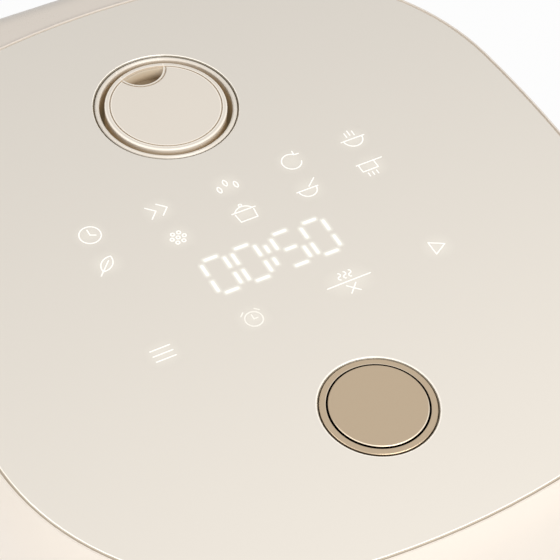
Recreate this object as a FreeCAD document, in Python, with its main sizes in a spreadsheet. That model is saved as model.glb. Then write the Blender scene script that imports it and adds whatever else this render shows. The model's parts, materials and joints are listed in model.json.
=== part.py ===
import FreeCAD, Part
import Sketcher
import math
import os

# A countertop rice cooker: a soft square body with a removable pot, and a glass-topped lid on a rear hinge.
# Millimetres, +X to the user's right, +Y to the back, +Z up, with the feet standing on Z = 0.

SIZES = {
    # Outline of the glass top, which stands round the pot and which every wall follows at a distance
    "side_room": 21.0,
    "end_room": 29.5,
    "panel_side_bow": 454.0,
    "panel_end_bow": 270.0,
    "panel_corner": 86.0,
    # Heights above the table, and drops below the glass
    "panel_top": 206.0,
    "lid_height": 46.0,
    "shoulder_drop": 23.0,
    "belly_height": 62.0,
    "foot_height": 6.5,
    # How far the walls stand out past the glass
    "belly_bulge": 7.0,
    "seam_bulge": 5.9,
    "shoulder_bulge": 5.2,
    "base_tuck": 3.0,
    # Walls and gaps
    "shell_wall": 2.5,
    "lid_wall": 2.4,
    "seam_gap": 0.6,
    "seam_round": 0.8,
    "slip_gap": 0.4,
    "pin_fit": 0.05,
    "over_cut": 1.0,
    # Glass top and the deck that it is bonded to
    "panel_thick": 3.0,
    "panel_gap": 0.6,
    "panel_bevel": 0.5,
    "frame_land": 0.5,
    "deck_thick": 2.3,
    # Steam vent, behind the middle of the glass
    "vent_from_back": 53.6,
    "vent_radius": 24.75,
    "vent_ring": 1.55,
    "vent_depth": 30.0,
    "vent_wall": 1.8,
    "spigot_radius": 13.0,
    "cap_radius": 21.3,
    "cap_proud": 0.3,
    "cap_thick": 8.0,
    "cap_edge": 0.6,
    "cap_plug": 2.0,
    "cap_groove": 19.45,
    "cap_groove_width": 0.5,
    "notch_radius": 8.1,
    "notch_back": 20.4,
    "notch_depth": 5.6,
    "notch_lip": 0.8,
    "notch_round": 0.5,
    "valve_radius": 20.2,
    "valve_wall": 1.6,
    "spout_radius": 8.0,
    "spout_wall": 1.8,
    # Release button, in front of the middle of the glass
    "button_from_front": 50.5,
    "button_radius": 15.85,
    "button_proud": 0.4,
    "button_bevel": 0.2,
    "button_skirt": 7.0,
    "button_wall": 1.6,
    "button_face": 2.2,
    "bezel_radius": 18.6,
    "bezel_wall": 2.3,
    "bezel_depth": 16.0,
    "plunger_radius": 5.0,
    "plunger_tip": 2.0,
    "plunger_flange": 1.5,
    "plunger_reach": 19.3,
    # Latch lever, its pin and the keeper on the body
    "latch_from_front": 21.0,
    "latch_drop": 28.0,
    "latch_boss": 5.0,
    "latch_pin_radius": 2.0,
    "latch_half_width": 8.0,
    "hook_from_front": 4.0,
    "hook_thick": 4.0,
    "hook_reach": 10.0,
    "nose_reach": 4.0,
    "nose_height": 5.2,
    "nose_edge": 1.2,
    "post_thick": 4.0,
    "post_gap": 1.0,
    "slot_half_width": 11.0,
    "slot_past_glass": 2.2,
    "keeper_thick": 1.5,
    # Hinge
    "hinge_back": 10.0,
    "hinge_drop": 15.0,
    "hinge_pin_radius": 2.5,
    "knuckle_half_width": 48.0,
    "knuckle_radius": 10.0,
    "knuckle_crown": 12.0,
    "knuckle_drop": 1.4,
    "lug_radius": 8.5,
    "lug_thick": 11.4,
    "trough_radius": 14.4,
    "housing_wall": 2.8,
    "housing_room": 22.5,
    "housing_corner": 12.0,
    "housing_slope": 0.465,
    "crown_drop": 1.0,
    # Pot, its seat and the cooking well
    "pot_radius": 95.5,
    "pot_wall": 2.0,
    "pot_bottom": 44.0,
    "pot_corner": 25.0,
    "pot_rim_drop": 1.6,
    "pot_flange": 6.5,
    "rim_seat_drop": 4.0,
    "rim_room": 1.0,
    "well_wall": 0.8,
    "well_gap": 2.7,
    "well_floor": 30.0,
    "well_ledge": 11.5,
    "collar_height": 5.6,
    "collar_deck": 2.8,
    "collar_wall": 2.4,
    "collar_lip": 13.0,
    "lip_width": 3.0,
    "gutter_width": 4.0,
    "gutter_depth": 1.2,
    # Heating plate and its sensor
    "plate_inset": 15.5,
    "plate_thick": 10.0,
    "plate_hole": 16.5,
    "element_inset": 18.0,
    "element_radius": 3.8,
    "element_cover": 2.2,
    "element_drop": 3.0,
    "element_sweep": 310.0,
    "leg_inset": 6.0,
    "leg_radius": 4.0,
    "sensor_radius": 14.5,
    "sensor_wall": 1.2,
    "sensor_face": 2.2,
    "sensor_edge": 0.6,
    "sensor_stem": 3.8,
    "sensor_travel": 2.0,
    "sensor_room": 1.0,
    "bracket_depth": 18.0,
    # Base plate and what stands on it
    "base_thick": 2.5,
    "flange_reach": 17.0,
    "flange_thick": 4.5,
    "foot_radius": 10.0,
    "foot_from_side": 44.5,
    "foot_from_end": 47.0,
    "foot_plug": 4.0,
    "slot_count": 7,
    "slot_pitch": 9.0,
    "slot_width": 4.0,
    "slot_length": 45.0,
    "slot_from_front": 55.0,
    "board_from_side": 46.5,
    "board_width": 46.0,
    "board_depth": 76.0,
    "board_thick": 1.6,
    "board_stand": 4.0,
    # Screws
    "screw_head": 3.4,
    "screw_head_height": 2.0,
    "screw_shank": 1.6,
    "screw_length": 9.0,
    "lid_screw_inset": 23.5,
    "lid_boss": 4.5,
    # Mains inlet in the rear wall
    "inlet_width": 27.0,
    "inlet_height": 20.0,
    "inlet_depth": 24.0,
    "inlet_wall": 1.6,
    "inlet_cavity": 16.0,
    "inlet_flange": 3.5,
    "inlet_flange_thick": 2.2,
    "inlet_cut": 5.0,
    "pin_spread": 7.0,
    "pin_offset": 2.0,
    "pin_half_width": 1.0,
    "pin_half_height": 2.0,
    "pin_reach": 13.6,
    # Lower cover of the lid, inner lid and seal
    "cover_drop": 2.0,
    "cover_thick": 2.4,
    "seal_past_pot": 6.0,
    "seal_inset": 7.0,
    "seal_edge": 1.0,
    "seal_clear": 0.3,
    "inner_lid_inset": 4.5,
    "inner_lid_thick": 1.0,
    "inner_lid_rise": 1.2,
    "stud_radius": 4.5,
    "stud_neck": 0.8,
    "stud_edge": 1.0,
    "grommet_wall": 3.0,
    "grommet_lip": 1.5,
    "lid_sensor_radius": 4.0,
    "lid_sensor_flange": 2.0,
    "lid_sensor_side": 40.0,
    # Display behind the glass
    "display_half_width": 62.0,
    "display_front": 33.0,
    "guide_lip": 4.0,
    "guide_depth": 11.9,
    "digit_count": 4,
    "digit_pitch": 12.4,
    "digit_width": 9.0,
    "digit_height": 17.0,
    "label_pitch": 25.0,
    "label_width": 18.0,
    "label_height": 7.0,
    # Where each row stands, as a share of the display's depth from its front
    "rear_row_share": 0.8964,
    "next_row_share": 0.698,
    "digit_row_share": 0.404,
    "front_row_share": 0.1,
    "well_depth": 8.0,
    # Coil springs
    "button_spring_radius": 9.5,
    "sensor_spring_radius": 8.0,
    "hinge_spring_radius": 5.6,
    "hinge_spring_length": 22.0,
    "spring_wire": 0.5,
    "hinge_wire": 0.7,
    "spring_turns": 4,
}


class Size:
    """A length that carries both its number and the sheet formula that it comes from."""

    def __init__(self, number, formula):
        self.number = float(number)
        self.formula = formula

    def __float__(self):
        return self.number

    def __add__(self, other):
        return combine(self, "+", other, self.number + float(other))

    def __radd__(self, other):
        return combine(other, "+", self, float(other) + self.number)

    def __sub__(self, other):
        return combine(self, "-", other, self.number - float(other))

    def __rsub__(self, other):
        return combine(other, "-", self, float(other) - self.number)

    def __mul__(self, other):
        return combine(self, "*", other, self.number * float(other))

    def __rmul__(self, other):
        return combine(other, "*", self, float(other) * self.number)

    def __truediv__(self, other):
        return combine(self, "/", other, self.number / float(other))

    def __neg__(self):
        return combine(0, "-", self, -self.number)

    def root(self):
        """Square root of the size."""
        return Size(math.sqrt(self.number), f"sqrt({self.formula})")


def combine(left, sign, right, number):
    """Join two sizes or numbers into one size with a formula of its own."""
    texts = [side.formula if isinstance(side, Size) else repr(float(side)) for side in (left, right)]
    return Size(number, f"({texts[0]} {sign} {texts[1]})")


class Sizes:
    """The sheet of driving dimensions, with each cell at hand as a Size."""

    def __init__(self, document, numbers):
        sheet = document.addObject("Spreadsheet::Sheet", "Sizes")
        for row, (name, number) in enumerate(numbers.items(), start=1):
            sheet.set(f"A{row}", name)
            sheet.set(f"B{row}", str(number))
            sheet.setAlias(f"B{row}", name)
            setattr(self, name, Size(number, f"Sizes.{name}"))
        document.recompute()


doc = FreeCAD.newDocument("rice_cooker")
S = Sizes(doc, SIZES)

# Places that several pieces share
half_width = S.pot_radius + S.side_room
half_depth = S.pot_radius + S.end_room
seam = S.panel_top - S.lid_height
shoulder_height = S.panel_top - S.shoulder_drop
panel_bottom = S.panel_top - S.panel_thick
deck_bottom = panel_bottom - S.deck_thick
frame_bottom = seam + S.seam_gap
base_top = S.foot_height + S.base_thick
flange_top = base_top + S.flange_thick
collar_bottom = seam - S.collar_height
collar_underside = seam - S.collar_deck
cover_bottom = frame_bottom + S.cover_drop
cover_top = cover_bottom + S.cover_thick
pot_rim_top = seam - S.pot_rim_drop
plate_bottom = S.pot_bottom - S.plate_thick
plate_radius = S.pot_radius - S.plate_inset
element_ring = plate_radius - S.element_inset
hinge_y = half_depth + S.hinge_back
hinge_z = S.panel_top - S.hinge_drop
housing_back = hinge_y + S.trough_radius + S.housing_wall
inlet_top = S.belly_height + S.inlet_height / 2 + S.inlet_flange
housing_bottom = inlet_top + S.housing_room
vent_back = half_depth - S.vent_from_back
vent_floor = S.panel_top - S.vent_depth
vent_inner = S.vent_radius - S.vent_ring
vent_flange = S.vent_radius + S.vent_ring * 4
panel_clear = S.vent_radius + S.slip_gap
display_back = vent_back - vent_flange - S.guide_lip - S.slip_gap
button_front = half_depth - S.button_from_front
plunger_bottom = S.panel_top - S.plunger_reach
latch_front = half_depth - S.latch_from_front
latch_height = S.panel_top - S.latch_drop
hook_front = half_depth - S.hook_from_front
hook_bottom = seam - S.hook_reach
bezel_inner = S.bezel_radius - S.bezel_wall
well_inner = S.pot_radius + S.well_gap
well_outer = well_inner + S.well_wall
lip_inner = well_outer + S.slip_gap
seat_radius = S.pot_radius + S.pot_flange + S.rim_room
seat_bottom = seam - S.rim_seat_drop
lip_outer = seat_radius + S.lip_width
lip_bottom = seam - S.collar_lip
inner_lid_bottom = cover_bottom - S.inner_lid_rise - S.inner_lid_thick
lug_inner = S.knuckle_half_width + S.seam_gap
lug_outer = lug_inner + S.lug_thick
keeper_front = hook_front - S.hook_thick - S.nose_reach - S.slip_gap
# The row frame's origin is under the middle of the whole depth, and the pieces are drawn about the pot's axis
front_reach = half_depth + S.belly_bulge
middle_y = (housing_back - front_reach) / 2


def tie(target, path, value):
    """Bind one property of an object to the sheet when the value comes from it."""
    if isinstance(value, Size):
        target.setExpression(path, value.formula)


def place(target, x=0.0, y=0.0, z=0.0):
    """Put a piece, drawn about the pot's axis, in the row frame."""
    rotation = target.Placement.Rotation
    values = {"x": x, "y": y - middle_y, "z": z}
    base = FreeCAD.Vector(*(float(value) for value in values.values()))
    target.Placement = FreeCAD.Placement(base, rotation)
    for axis, value in values.items():
        tie(target, f"Placement.Base.{axis}", value)


def fix(sketch, kind, *where, value):
    """Add a dimension to a sketch, tied to the sheet."""
    number = sketch.addConstraint(Sketcher.Constraint(kind, *where, float(value)))
    tie(sketch, f"Constraints[{number}]", value)


def fix_point(sketch, geometry, end, x, y):
    """Dimension one point of a sketch from its origin."""
    fix(sketch, "DistanceX", -1, 1, geometry, end, value=x)
    fix(sketch, "DistanceY", -1, 1, geometry, end, value=y)


def draw_circle(sketch, x, y, radius):
    """Draw a circle with its centre and radius dimensioned."""
    centre = FreeCAD.Vector(float(x), float(y), 0)
    circle = sketch.addGeometry(Part.Circle(centre, FreeCAD.Vector(0, 0, 1), float(radius)))
    fix_point(sketch, circle, 3, x, y)
    fix(sketch, "Radius", circle, value=radius)


def add_side(sketch, start, end, bend):
    """Draw one side of an outline and return its geometry with its first and last ends.

    bend is None for a straight side, or the radius and the hand that the arc turns to.
    """
    if bend is None:
        return sketch.addGeometry(Part.LineSegment(start, end)), 1, 2
    radius, hand = float(bend[0]), bend[1]
    chord = end - start
    inward = FreeCAD.Vector(-chord.y, chord.x, 0).normalize()
    reach = math.sqrt(max(radius**2 - (chord.Length / 2) ** 2, 0.0))
    centre = (start + end) * 0.5 + inward * (reach if hand == "left" else -reach)
    angles = [math.atan2(point.y - centre.y, point.x - centre.x) for point in (start, end)]
    if hand == "right":
        angles.reverse()
    circle = Part.Circle(centre, FreeCAD.Vector(0, 0, 1), radius)
    geometry = sketch.addGeometry(Part.ArcOfCircle(circle, *angles))
    return (geometry, 1, 2) if hand == "left" else (geometry, 2, 1)


def draw_outline(sketch, corners):
    """Draw a closed outline.

    Each corner is (x, y), reached by a straight side, or (x, y, radius, hand), reached by an arc
    that turns to that hand.
    """
    points = [FreeCAD.Vector(float(corner[0]), float(corner[1]), 0) for corner in corners]
    sides = []
    for index, corner in enumerate(corners):
        bend = corner[2:] or None
        sides.append(add_side(sketch, points[index - 1], points[index], bend))
    for index, corner in enumerate(corners):
        geometry, _, last = sides[index]
        following, first, _ = sides[(index + 1) % len(sides)]
        sketch.addConstraint(Sketcher.Constraint("Coincident", geometry, last, following, first))
        fix_point(sketch, geometry, last, corner[0], corner[1])
        if len(corner) > 2:
            fix(sketch, "Radius", geometry, value=corner[2])


def draw_box(sketch, x_low, x_high, y_low, y_high):
    """Draw a rectangle between two pairs of sides."""
    draw_outline(sketch, [(x_low, y_low), (x_high, y_low), (x_high, y_high), (x_low, y_high)])


def draw_soft_square(sketch, grow):
    """Draw the outline of the glass, grown evenly: bowed sides joined by tangent corner arcs."""
    side_bow = S.panel_side_bow + grow
    end_bow = S.panel_end_bow + grow
    corner = S.panel_corner + grow
    side_x = half_width + grow - side_bow
    end_y = half_depth + grow - end_bow
    # The corner's centre is where the two bows, each less the corner's radius, cross
    from_side = float(side_bow - corner)
    from_end = float(end_bow - corner)
    apart = math.hypot(float(side_x), float(end_y))
    along = (from_side**2 - from_end**2 + apart**2) / (2 * apart)
    aside = math.sqrt(from_side**2 - along**2)
    toward = FreeCAD.Vector(-float(side_x), float(end_y), 0) / apart
    across = FreeCAD.Vector(toward.y, -toward.x, 0)
    start = FreeCAD.Vector(float(side_x), 0, 0) + toward * along
    centre = max((start + across * aside, start - across * aside), key=lambda point: point.x + point.y)
    side_turn = math.atan2(centre.y, centre.x - float(side_x))
    end_turn = math.atan2(centre.y - float(end_y), centre.x)
    half = math.pi
    full = 2 * math.pi
    arcs = [
        (float(side_x), 0, side_bow, -side_turn, side_turn),
        (centre.x, centre.y, corner, side_turn, end_turn),
        (0, float(end_y), end_bow, end_turn, half - end_turn),
        (-centre.x, centre.y, corner, half - end_turn, half - side_turn),
        (-float(side_x), 0, side_bow, half - side_turn, half + side_turn),
        (-centre.x, -centre.y, corner, half + side_turn, half + end_turn),
        (0, -float(end_y), end_bow, half + end_turn, full - end_turn),
        (centre.x, -centre.y, corner, full - end_turn, full - side_turn),
    ]
    drawn = []
    for x, y, radius, begin, finish in arcs:
        circle = Part.Circle(FreeCAD.Vector(x, y, 0), FreeCAD.Vector(0, 0, 1), float(radius))
        drawn.append(sketch.addGeometry(Part.ArcOfCircle(circle, begin, finish)))
    for index, geometry in enumerate(drawn):
        following = drawn[(index + 1) % len(drawn)]
        sketch.addConstraint(Sketcher.Constraint("Tangent", geometry, 2, following, 1))
        fix(sketch, "Radius", geometry, value=arcs[index][2])
    fix_point(sketch, drawn[0], 3, side_x, 0.0)
    fix_point(sketch, drawn[2], 3, 0.0, end_y)
    fix_point(sketch, drawn[4], 3, -side_x, 0.0)
    fix_point(sketch, drawn[6], 3, 0.0, -end_y)


def bulge_radius(rise, drop):
    """Radius of an arc that leaves the vertical and goes over by drop in a given rise."""
    return (rise * rise + drop * drop) / (drop * 2)


class Piece:
    """One moulded, turned or cut piece: a body whose features are tied to the sheet."""

    def __init__(self, label):
        self.body = doc.addObject("PartDesign::Body", label)
        self.body.Label = label
        self.body.AllowCompound = True
        place(self.body)
        pieces.append(self.body)

    def origin(self, role):
        """Return the body's own plane or axis of that role."""
        return next(item for item in self.body.Origin.OriginFeatures if item.Role == role)

    def sketch(self, role, x=0.0, y=0.0, z=0.0):
        """Start a sketch on one of the body's planes, moved by x, y along it and z off it."""
        sketch = self.body.newObject("Sketcher::SketchObject", "Sketch")
        sketch.AttachmentSupport = [(self.origin(role), "")]
        sketch.MapMode = "FlatFace"
        offset = FreeCAD.Vector(float(x), float(y), float(z))
        sketch.AttachmentOffset = FreeCAD.Placement(offset, FreeCAD.Rotation())
        for axis, value in {"x": x, "y": y, "z": z}.items():
            tie(sketch, f"AttachmentOffset.Base.{axis}", value)
        return sketch

    def flat(self, height):
        """Start a level sketch at a height."""
        return self.sketch("XY_Plane", z=height)

    def feature(self, kind, profile, **settings):
        """Add a feature made from a sketch."""
        feature = self.body.newObject(f"PartDesign::{kind}", kind)
        feature.Profile = profile
        for name, value in settings.items():
            setattr(feature, name, float(value) if isinstance(value, Size) else value)
            tie(feature, name, value)
        return feature

    def pad(self, profile, length, **settings):
        """Raise a sketch into a solid."""
        return self.feature("Pad", profile, Length=length, **settings)

    def pocket(self, profile, length, **settings):
        """Cut a sketch into the solid."""
        return self.feature("Pocket", profile, Length=length, **settings)

    def turned(self, corners, y=0.0, kind="Revolution"):
        """Turn an outline of (radius, height) corners about the upright axis at y."""
        profile = self.sketch("XZ_Plane", z=-y if isinstance(y, Size) else 0.0)
        draw_outline(profile, corners)
        return self.feature(kind, profile, ReferenceAxis=(profile, ["V_Axis"]), Angle=360.0)

    def swept(self, corners):
        """Carry a wall section of (distance past the glass, height) corners round the soft square."""
        path = self.flat(corners[0][1])
        draw_soft_square(path, 0.0)
        section = self.sketch("XZ_Plane")
        draw_outline(section, [(half_width + corner[0], *corner[1:]) for corner in corners])
        pipe = self.feature("AdditivePipe", section)
        pipe.Spine = (path, [])
        return pipe

    def mirrored(self, feature):
        """Repeat a feature on the other side of the middle."""
        copy = self.body.newObject("PartDesign::Mirrored", "Mirrored")
        copy.Originals = [feature]
        copy.MirrorPlane = (self.origin("YZ_Plane"), [""])
        self.body.Tip = copy

    def around(self, feature, count):
        """Repeat a feature evenly round the upright axis."""
        ring = self.body.newObject("PartDesign::PolarPattern", "PolarPattern")
        ring.Originals = [feature]
        ring.Axis = (self.origin("Z_Axis"), [""])
        ring.Angle = 360.0
        ring.Occurrences = count
        self.body.Tip = ring

    def softened(self, kind, chosen, **settings):
        """Round or bevel the edges that a test picks out."""
        doc.recompute()
        base = self.body.Tip
        names = [f"Edge{number}" for number, edge in enumerate(base.Shape.Edges, start=1) if chosen(edge)]
        softened = self.body.newObject(f"PartDesign::{kind}", kind)
        softened.Base = (base, names)
        for name, value in settings.items():
            setattr(softened, name, float(value))
            tie(softened, name, value)
        return softened


pieces = []


def level_at(height):
    """Make a test for edges that lie wholly at one height."""
    return lambda edge: all(abs(end.Z - float(height)) < 1e-4 for end in edge.Vertexes)


def make_outer_shell():
    """Casing wall: a belly that tucks in at the base, with a flange for the base plate."""
    rise = S.belly_height - S.foot_height
    lower = bulge_radius(rise, S.belly_bulge + S.base_tuck)
    upper = bulge_radius(collar_bottom - S.belly_height, S.belly_bulge - S.seam_bulge)
    flange_rise = S.belly_height - flange_top
    inner_lower = lower - S.shell_wall
    flange_root = S.belly_bulge - lower + (inner_lower * inner_lower - flange_rise * flange_rise).root()
    inner_foot = -S.base_tuck - S.shell_wall
    shell = Piece("outer_shell")
    shell.swept([
        (-S.base_tuck, S.foot_height),
        (S.belly_bulge, S.belly_height, lower, "left"),
        (S.seam_bulge, collar_bottom, upper, "left"),
        (S.seam_bulge - S.shell_wall, collar_bottom),
        (S.belly_bulge - S.shell_wall, S.belly_height, upper, "right"),
        (flange_root, flange_top, inner_lower, "right"),
        (-S.flange_reach, flange_top),
        (-S.flange_reach, base_top),
        (inner_foot, base_top),
        (inner_foot, S.foot_height),
    ])
    window = shell.sketch("XZ_Plane", y=S.belly_height, z=-half_depth)
    half_x = S.inlet_width / 2 + S.slip_gap
    half_z = S.inlet_height / 2 + S.slip_gap
    draw_box(window, -half_x, half_x, -half_z, half_z)
    shell.pocket(window, S.belly_bulge * 4, SideType="Symmetric")
    holes = shell.flat(base_top)
    for x, y in base_screw_places():
        draw_circle(holes, x, y, S.screw_shank)
    shell.pocket(holes, S.flange_thick, Reversed=True)


def base_screw_places():
    """Centres of the screws on the middle of the casing's bottom flange."""
    inset = (S.flange_reach + S.base_tuck + S.shell_wall) / 2
    across = half_width - inset
    along = half_depth - inset
    return [(across, 0.0), (-across, 0.0), (0.0, along), (0.0, -along)]


def foot_places():
    """Centres of the feet."""
    across = half_width - S.foot_from_side
    along = half_depth - S.foot_from_end
    return [(x, y) for x in (across, -across) for y in (along, -along)]


def make_base_plate():
    """Floor of the body, with air slots, holes for feet and screws, and stands for the board."""
    plate = Piece("base_plate")
    floor = plate.flat(S.foot_height)
    draw_soft_square(floor, -S.base_tuck - S.shell_wall - S.slip_gap)
    plate.pad(floor, S.base_thick)
    stands = plate.flat(base_top)
    for x, y in board_stand_places():
        draw_circle(stands, x, y, S.leg_radius)
    plate.pad(stands, S.board_stand)
    holes = plate.flat(S.foot_height)
    for x, y in foot_places():
        draw_circle(holes, x, y, S.foot_plug)
    for x, y in base_screw_places():
        draw_circle(holes, x, y, S.screw_shank)
    plate.pocket(holes, S.base_thick, Reversed=True)
    heads = plate.flat(S.foot_height)
    for x, y in base_screw_places():
        draw_circle(heads, x, y, S.screw_head + S.slip_gap)
    plate.pocket(heads, S.screw_head_height / 2, Reversed=True)
    first = (S.slot_count - 1) * S.slot_pitch / 2
    slot = plate.flat(S.foot_height)
    middle = S.slot_from_front - half_depth
    rear = middle + S.slot_length / 2
    front = middle - S.slot_length / 2
    draw_box(slot, -first - S.slot_width / 2, S.slot_width / 2 - first, front, rear)
    cut = plate.pocket(slot, S.base_thick, Reversed=True)
    row = plate.body.newObject("PartDesign::LinearPattern", "LinearPattern")
    row.Originals = [cut]
    row.Direction = (plate.origin("X_Axis"), [""])
    row.Length = float(first * 2)
    tie(row, "Length", first * 2)
    row.Occurrences = SIZES["slot_count"]
    plate.body.Tip = row


def board_stand_places():
    """Centres of the stands under the power board's corners."""
    inset = S.leg_radius * 1.25
    across = S.board_width / 2 - inset
    along = S.board_depth / 2 - inset
    middle = S.board_from_side - half_width
    return [(middle + side * across, end * along) for side in (1, -1) for end in (1, -1)]


def make_rubber_feet():
    """Four feet, each pushed into its hole by a plug."""
    feet = Piece("rubber_feet")
    pads = feet.flat(0.0)
    plugs = feet.flat(S.foot_height)
    for x, y in foot_places():
        draw_circle(pads, x, y, S.foot_radius)
        draw_circle(plugs, x, y, S.foot_plug - S.pin_fit)
    feet.pad(pads, S.foot_height)
    feet.pad(plugs, S.base_thick)
    feet.softened("Chamfer", level_at(0.0), Size=S.foot_radius / 10)


def make_base_screws():
    """Screws that hold the base plate up against the casing's flange."""
    screws = Piece("base_screws")
    heads = screws.flat(S.foot_height - S.screw_head_height / 2)
    shanks = screws.flat(S.foot_height + S.screw_head_height / 2)
    for x, y in base_screw_places():
        draw_circle(heads, x, y, S.screw_head)
        draw_circle(shanks, x, y, S.screw_shank - S.pin_fit)
    screws.pad(heads, S.screw_head_height)
    screws.pad(shanks, S.base_thick + S.flange_thick - S.screw_head_height / 2)


def make_body_collar():
    """Top of the body: a deck with the pot's seat, a gutter round it and the latch slot."""
    collar = Piece("body_collar")
    outline = collar.flat(collar_bottom)
    draw_soft_square(outline, S.seam_bulge)
    collar.pad(outline, S.collar_height)
    collar.softened("Fillet", level_at(seam), Radius=S.seam_round)
    underside = collar.flat(collar_bottom)
    draw_soft_square(underside, S.seam_bulge - S.collar_wall)
    collar.pocket(underside, S.collar_height - S.collar_deck, Reversed=True)
    middle = collar_underside + S.collar_deck / 2
    collar.turned([
        (lip_inner, lip_bottom),
        (lip_outer, lip_bottom),
        (lip_outer, middle),
        (lip_inner, middle),
    ])
    collar.turned(
        [
            (0.0, lip_bottom - S.over_cut),
            (lip_inner, lip_bottom - S.over_cut),
            (lip_inner, seat_bottom),
            (seat_radius, seat_bottom),
            (seat_radius, seam + S.over_cut),
            (0.0, seam + S.over_cut),
        ],
        kind="Groove",
    )
    gutter_inner = lip_outer + S.rim_room
    gutter_outer = gutter_inner + S.gutter_width
    gutter_floor = seam - S.gutter_depth
    collar.turned(
        [
            (gutter_inner, gutter_floor),
            (gutter_outer, gutter_floor),
            (gutter_outer, seam + S.over_cut),
            (gutter_inner, seam + S.over_cut),
        ],
        kind="Groove",
    )
    slot = collar.flat(collar_bottom)
    rear = -keeper_front + S.slip_gap
    front = -half_depth - S.slot_past_glass
    draw_box(slot, -S.slot_half_width, S.slot_half_width, front, rear)
    collar.pocket(slot, S.collar_height, Reversed=True)


def make_latch_keeper():
    """Steel strip under the collar that the latch's nose catches."""
    keeper = Piece("latch_keeper")
    strip = keeper.flat(collar_underside - S.keeper_thick)
    rear = -lip_outer - S.rim_room
    draw_box(strip, -S.slot_half_width, S.slot_half_width, -keeper_front, rear)
    keeper.pad(strip, S.keeper_thick)


def make_inner_pot():
    """Removable cooking pot with a rolled-over rim flange."""
    pot = Piece("inner_pot")
    inner = S.pot_radius - S.pot_wall
    flat = S.pot_radius - S.pot_corner
    turn = S.pot_bottom + S.pot_corner
    rim = S.pot_radius + S.pot_flange
    under = pot_rim_top - S.pot_wall
    pot.turned([
        (0.0, S.pot_bottom),
        (flat, S.pot_bottom),
        (S.pot_radius, turn, S.pot_corner, "left"),
        (S.pot_radius, under),
        (rim, under),
        (rim, pot_rim_top),
        (inner, pot_rim_top),
        (inner, turn),
        (flat, S.pot_bottom + S.pot_wall, S.pot_corner - S.pot_wall, "right"),
        (0.0, S.pot_bottom + S.pot_wall),
    ])
    pot.softened("Fillet", level_at(pot_rim_top), Radius=S.pot_wall * 0.4)


def make_inner_well():
    """Sheet-metal well round the pot, hung from the collar and open under the plate."""
    well = Piece("inner_well")
    turn = S.well_wall * 8
    floor_top = S.well_floor + S.well_wall
    opening = S.pot_radius - S.well_ledge
    flange = lip_outer - S.rim_room
    well.turned([
        (opening, S.well_floor),
        (well_outer - turn, S.well_floor),
        (well_outer, S.well_floor + turn, turn, "left"),
        (well_outer, lip_bottom - S.well_wall),
        (flange, lip_bottom - S.well_wall),
        (flange, lip_bottom),
        (well_inner, lip_bottom),
        (well_inner, S.well_floor + turn),
        (well_outer - turn, floor_top, turn - S.well_wall, "right"),
        (opening, floor_top),
    ])


def make_heating_plate():
    """Cast plate under the pot, thicker over its element, with a hole for the sensor."""
    plate = Piece("heating_plate")
    rib = S.element_radius + S.element_cover
    rib_bottom = plate_bottom - S.element_drop
    edge = S.plate_thick * 0.4
    plate.turned([
        (S.plate_hole, plate_bottom),
        (element_ring - rib, plate_bottom),
        (element_ring - rib, rib_bottom),
        (element_ring + rib, rib_bottom),
        (element_ring + rib, plate_bottom),
        (plate_radius, plate_bottom),
        (plate_radius, S.pot_bottom - edge),
        (plate_radius - edge * 2, S.pot_bottom),
        (S.plate_hole, S.pot_bottom),
    ])
    channel = plate.sketch("XZ_Plane")
    draw_circle(channel, element_ring, rib_bottom, S.element_radius + S.slip_gap / 2)
    plate.feature("Groove", channel, ReferenceAxis=(channel, ["V_Axis"]), Angle=360.0)


def make_heating_element():
    """Tubular element in the plate's channel, with both cold ends turned down to terminals."""
    height = plate_bottom - S.element_drop
    ring = doc.addObject("Part::Torus", "element_ring")
    ring.Radius1 = float(element_ring)
    tie(ring, "Radius1", element_ring)
    ring.Radius2 = float(S.element_radius)
    tie(ring, "Radius2", S.element_radius)
    ring.Angle3 = float(S.element_sweep)
    tie(ring, "Angle3", S.element_sweep)
    ends = []
    for number, angle in enumerate((0.0, float(S.element_sweep))):
        turn = math.radians(angle)
        end = doc.addObject("Part::Cylinder", f"element_end_{number}")
        end.Radius = float(S.element_radius)
        tie(end, "Radius", S.element_radius)
        end.Height = float(S.element_radius * 3)
        tie(end, "Height", S.element_radius * 3)
        end.Placement.Base = FreeCAD.Vector(
            float(element_ring) * math.cos(turn), float(element_ring) * math.sin(turn), 0
        )
        tie(end, "Placement.Base.x", element_ring * math.cos(turn))
        tie(end, "Placement.Base.y", element_ring * math.sin(turn))
        tie(end, "Placement.Base.z", -S.element_radius * 3)
        ends.append(end)
    element = doc.addObject("Part::MultiFuse", "heating_element")
    element.Shapes = [ring, *ends]
    gap_middle = 90.0 + (360.0 - float(S.element_sweep)) / 2
    element.Placement.Rotation = FreeCAD.Rotation(FreeCAD.Vector(0, 0, 1), gap_middle)
    place(element, z=height)
    pieces.append(element)


def make_plate_legs():
    """Three legs that carry the heating plate on the base plate."""
    legs = Piece("plate_legs")
    foot = legs.flat(base_top)
    draw_circle(foot, plate_radius - S.leg_inset, 0.0, S.leg_radius)
    first = legs.pad(foot, plate_bottom - base_top)
    legs.around(first, 3)


def make_sensor_bracket():
    """Steel cup under the heating plate that holds the sensor's spring."""
    bracket = Piece("sensor_bracket")
    inner = S.plate_hole + S.sensor_room
    sheet = S.well_wall
    floor = plate_bottom - S.bracket_depth
    bracket.turned([
        (S.sensor_stem + S.slip_gap, floor),
        (inner + sheet, floor),
        (inner + sheet, plate_bottom - sheet),
        (inner + S.plate_thick, plate_bottom - sheet),
        (inner + S.plate_thick, plate_bottom),
        (inner, plate_bottom),
        (inner, floor + sheet),
        (S.sensor_stem + S.slip_gap, floor + sheet),
    ])


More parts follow.
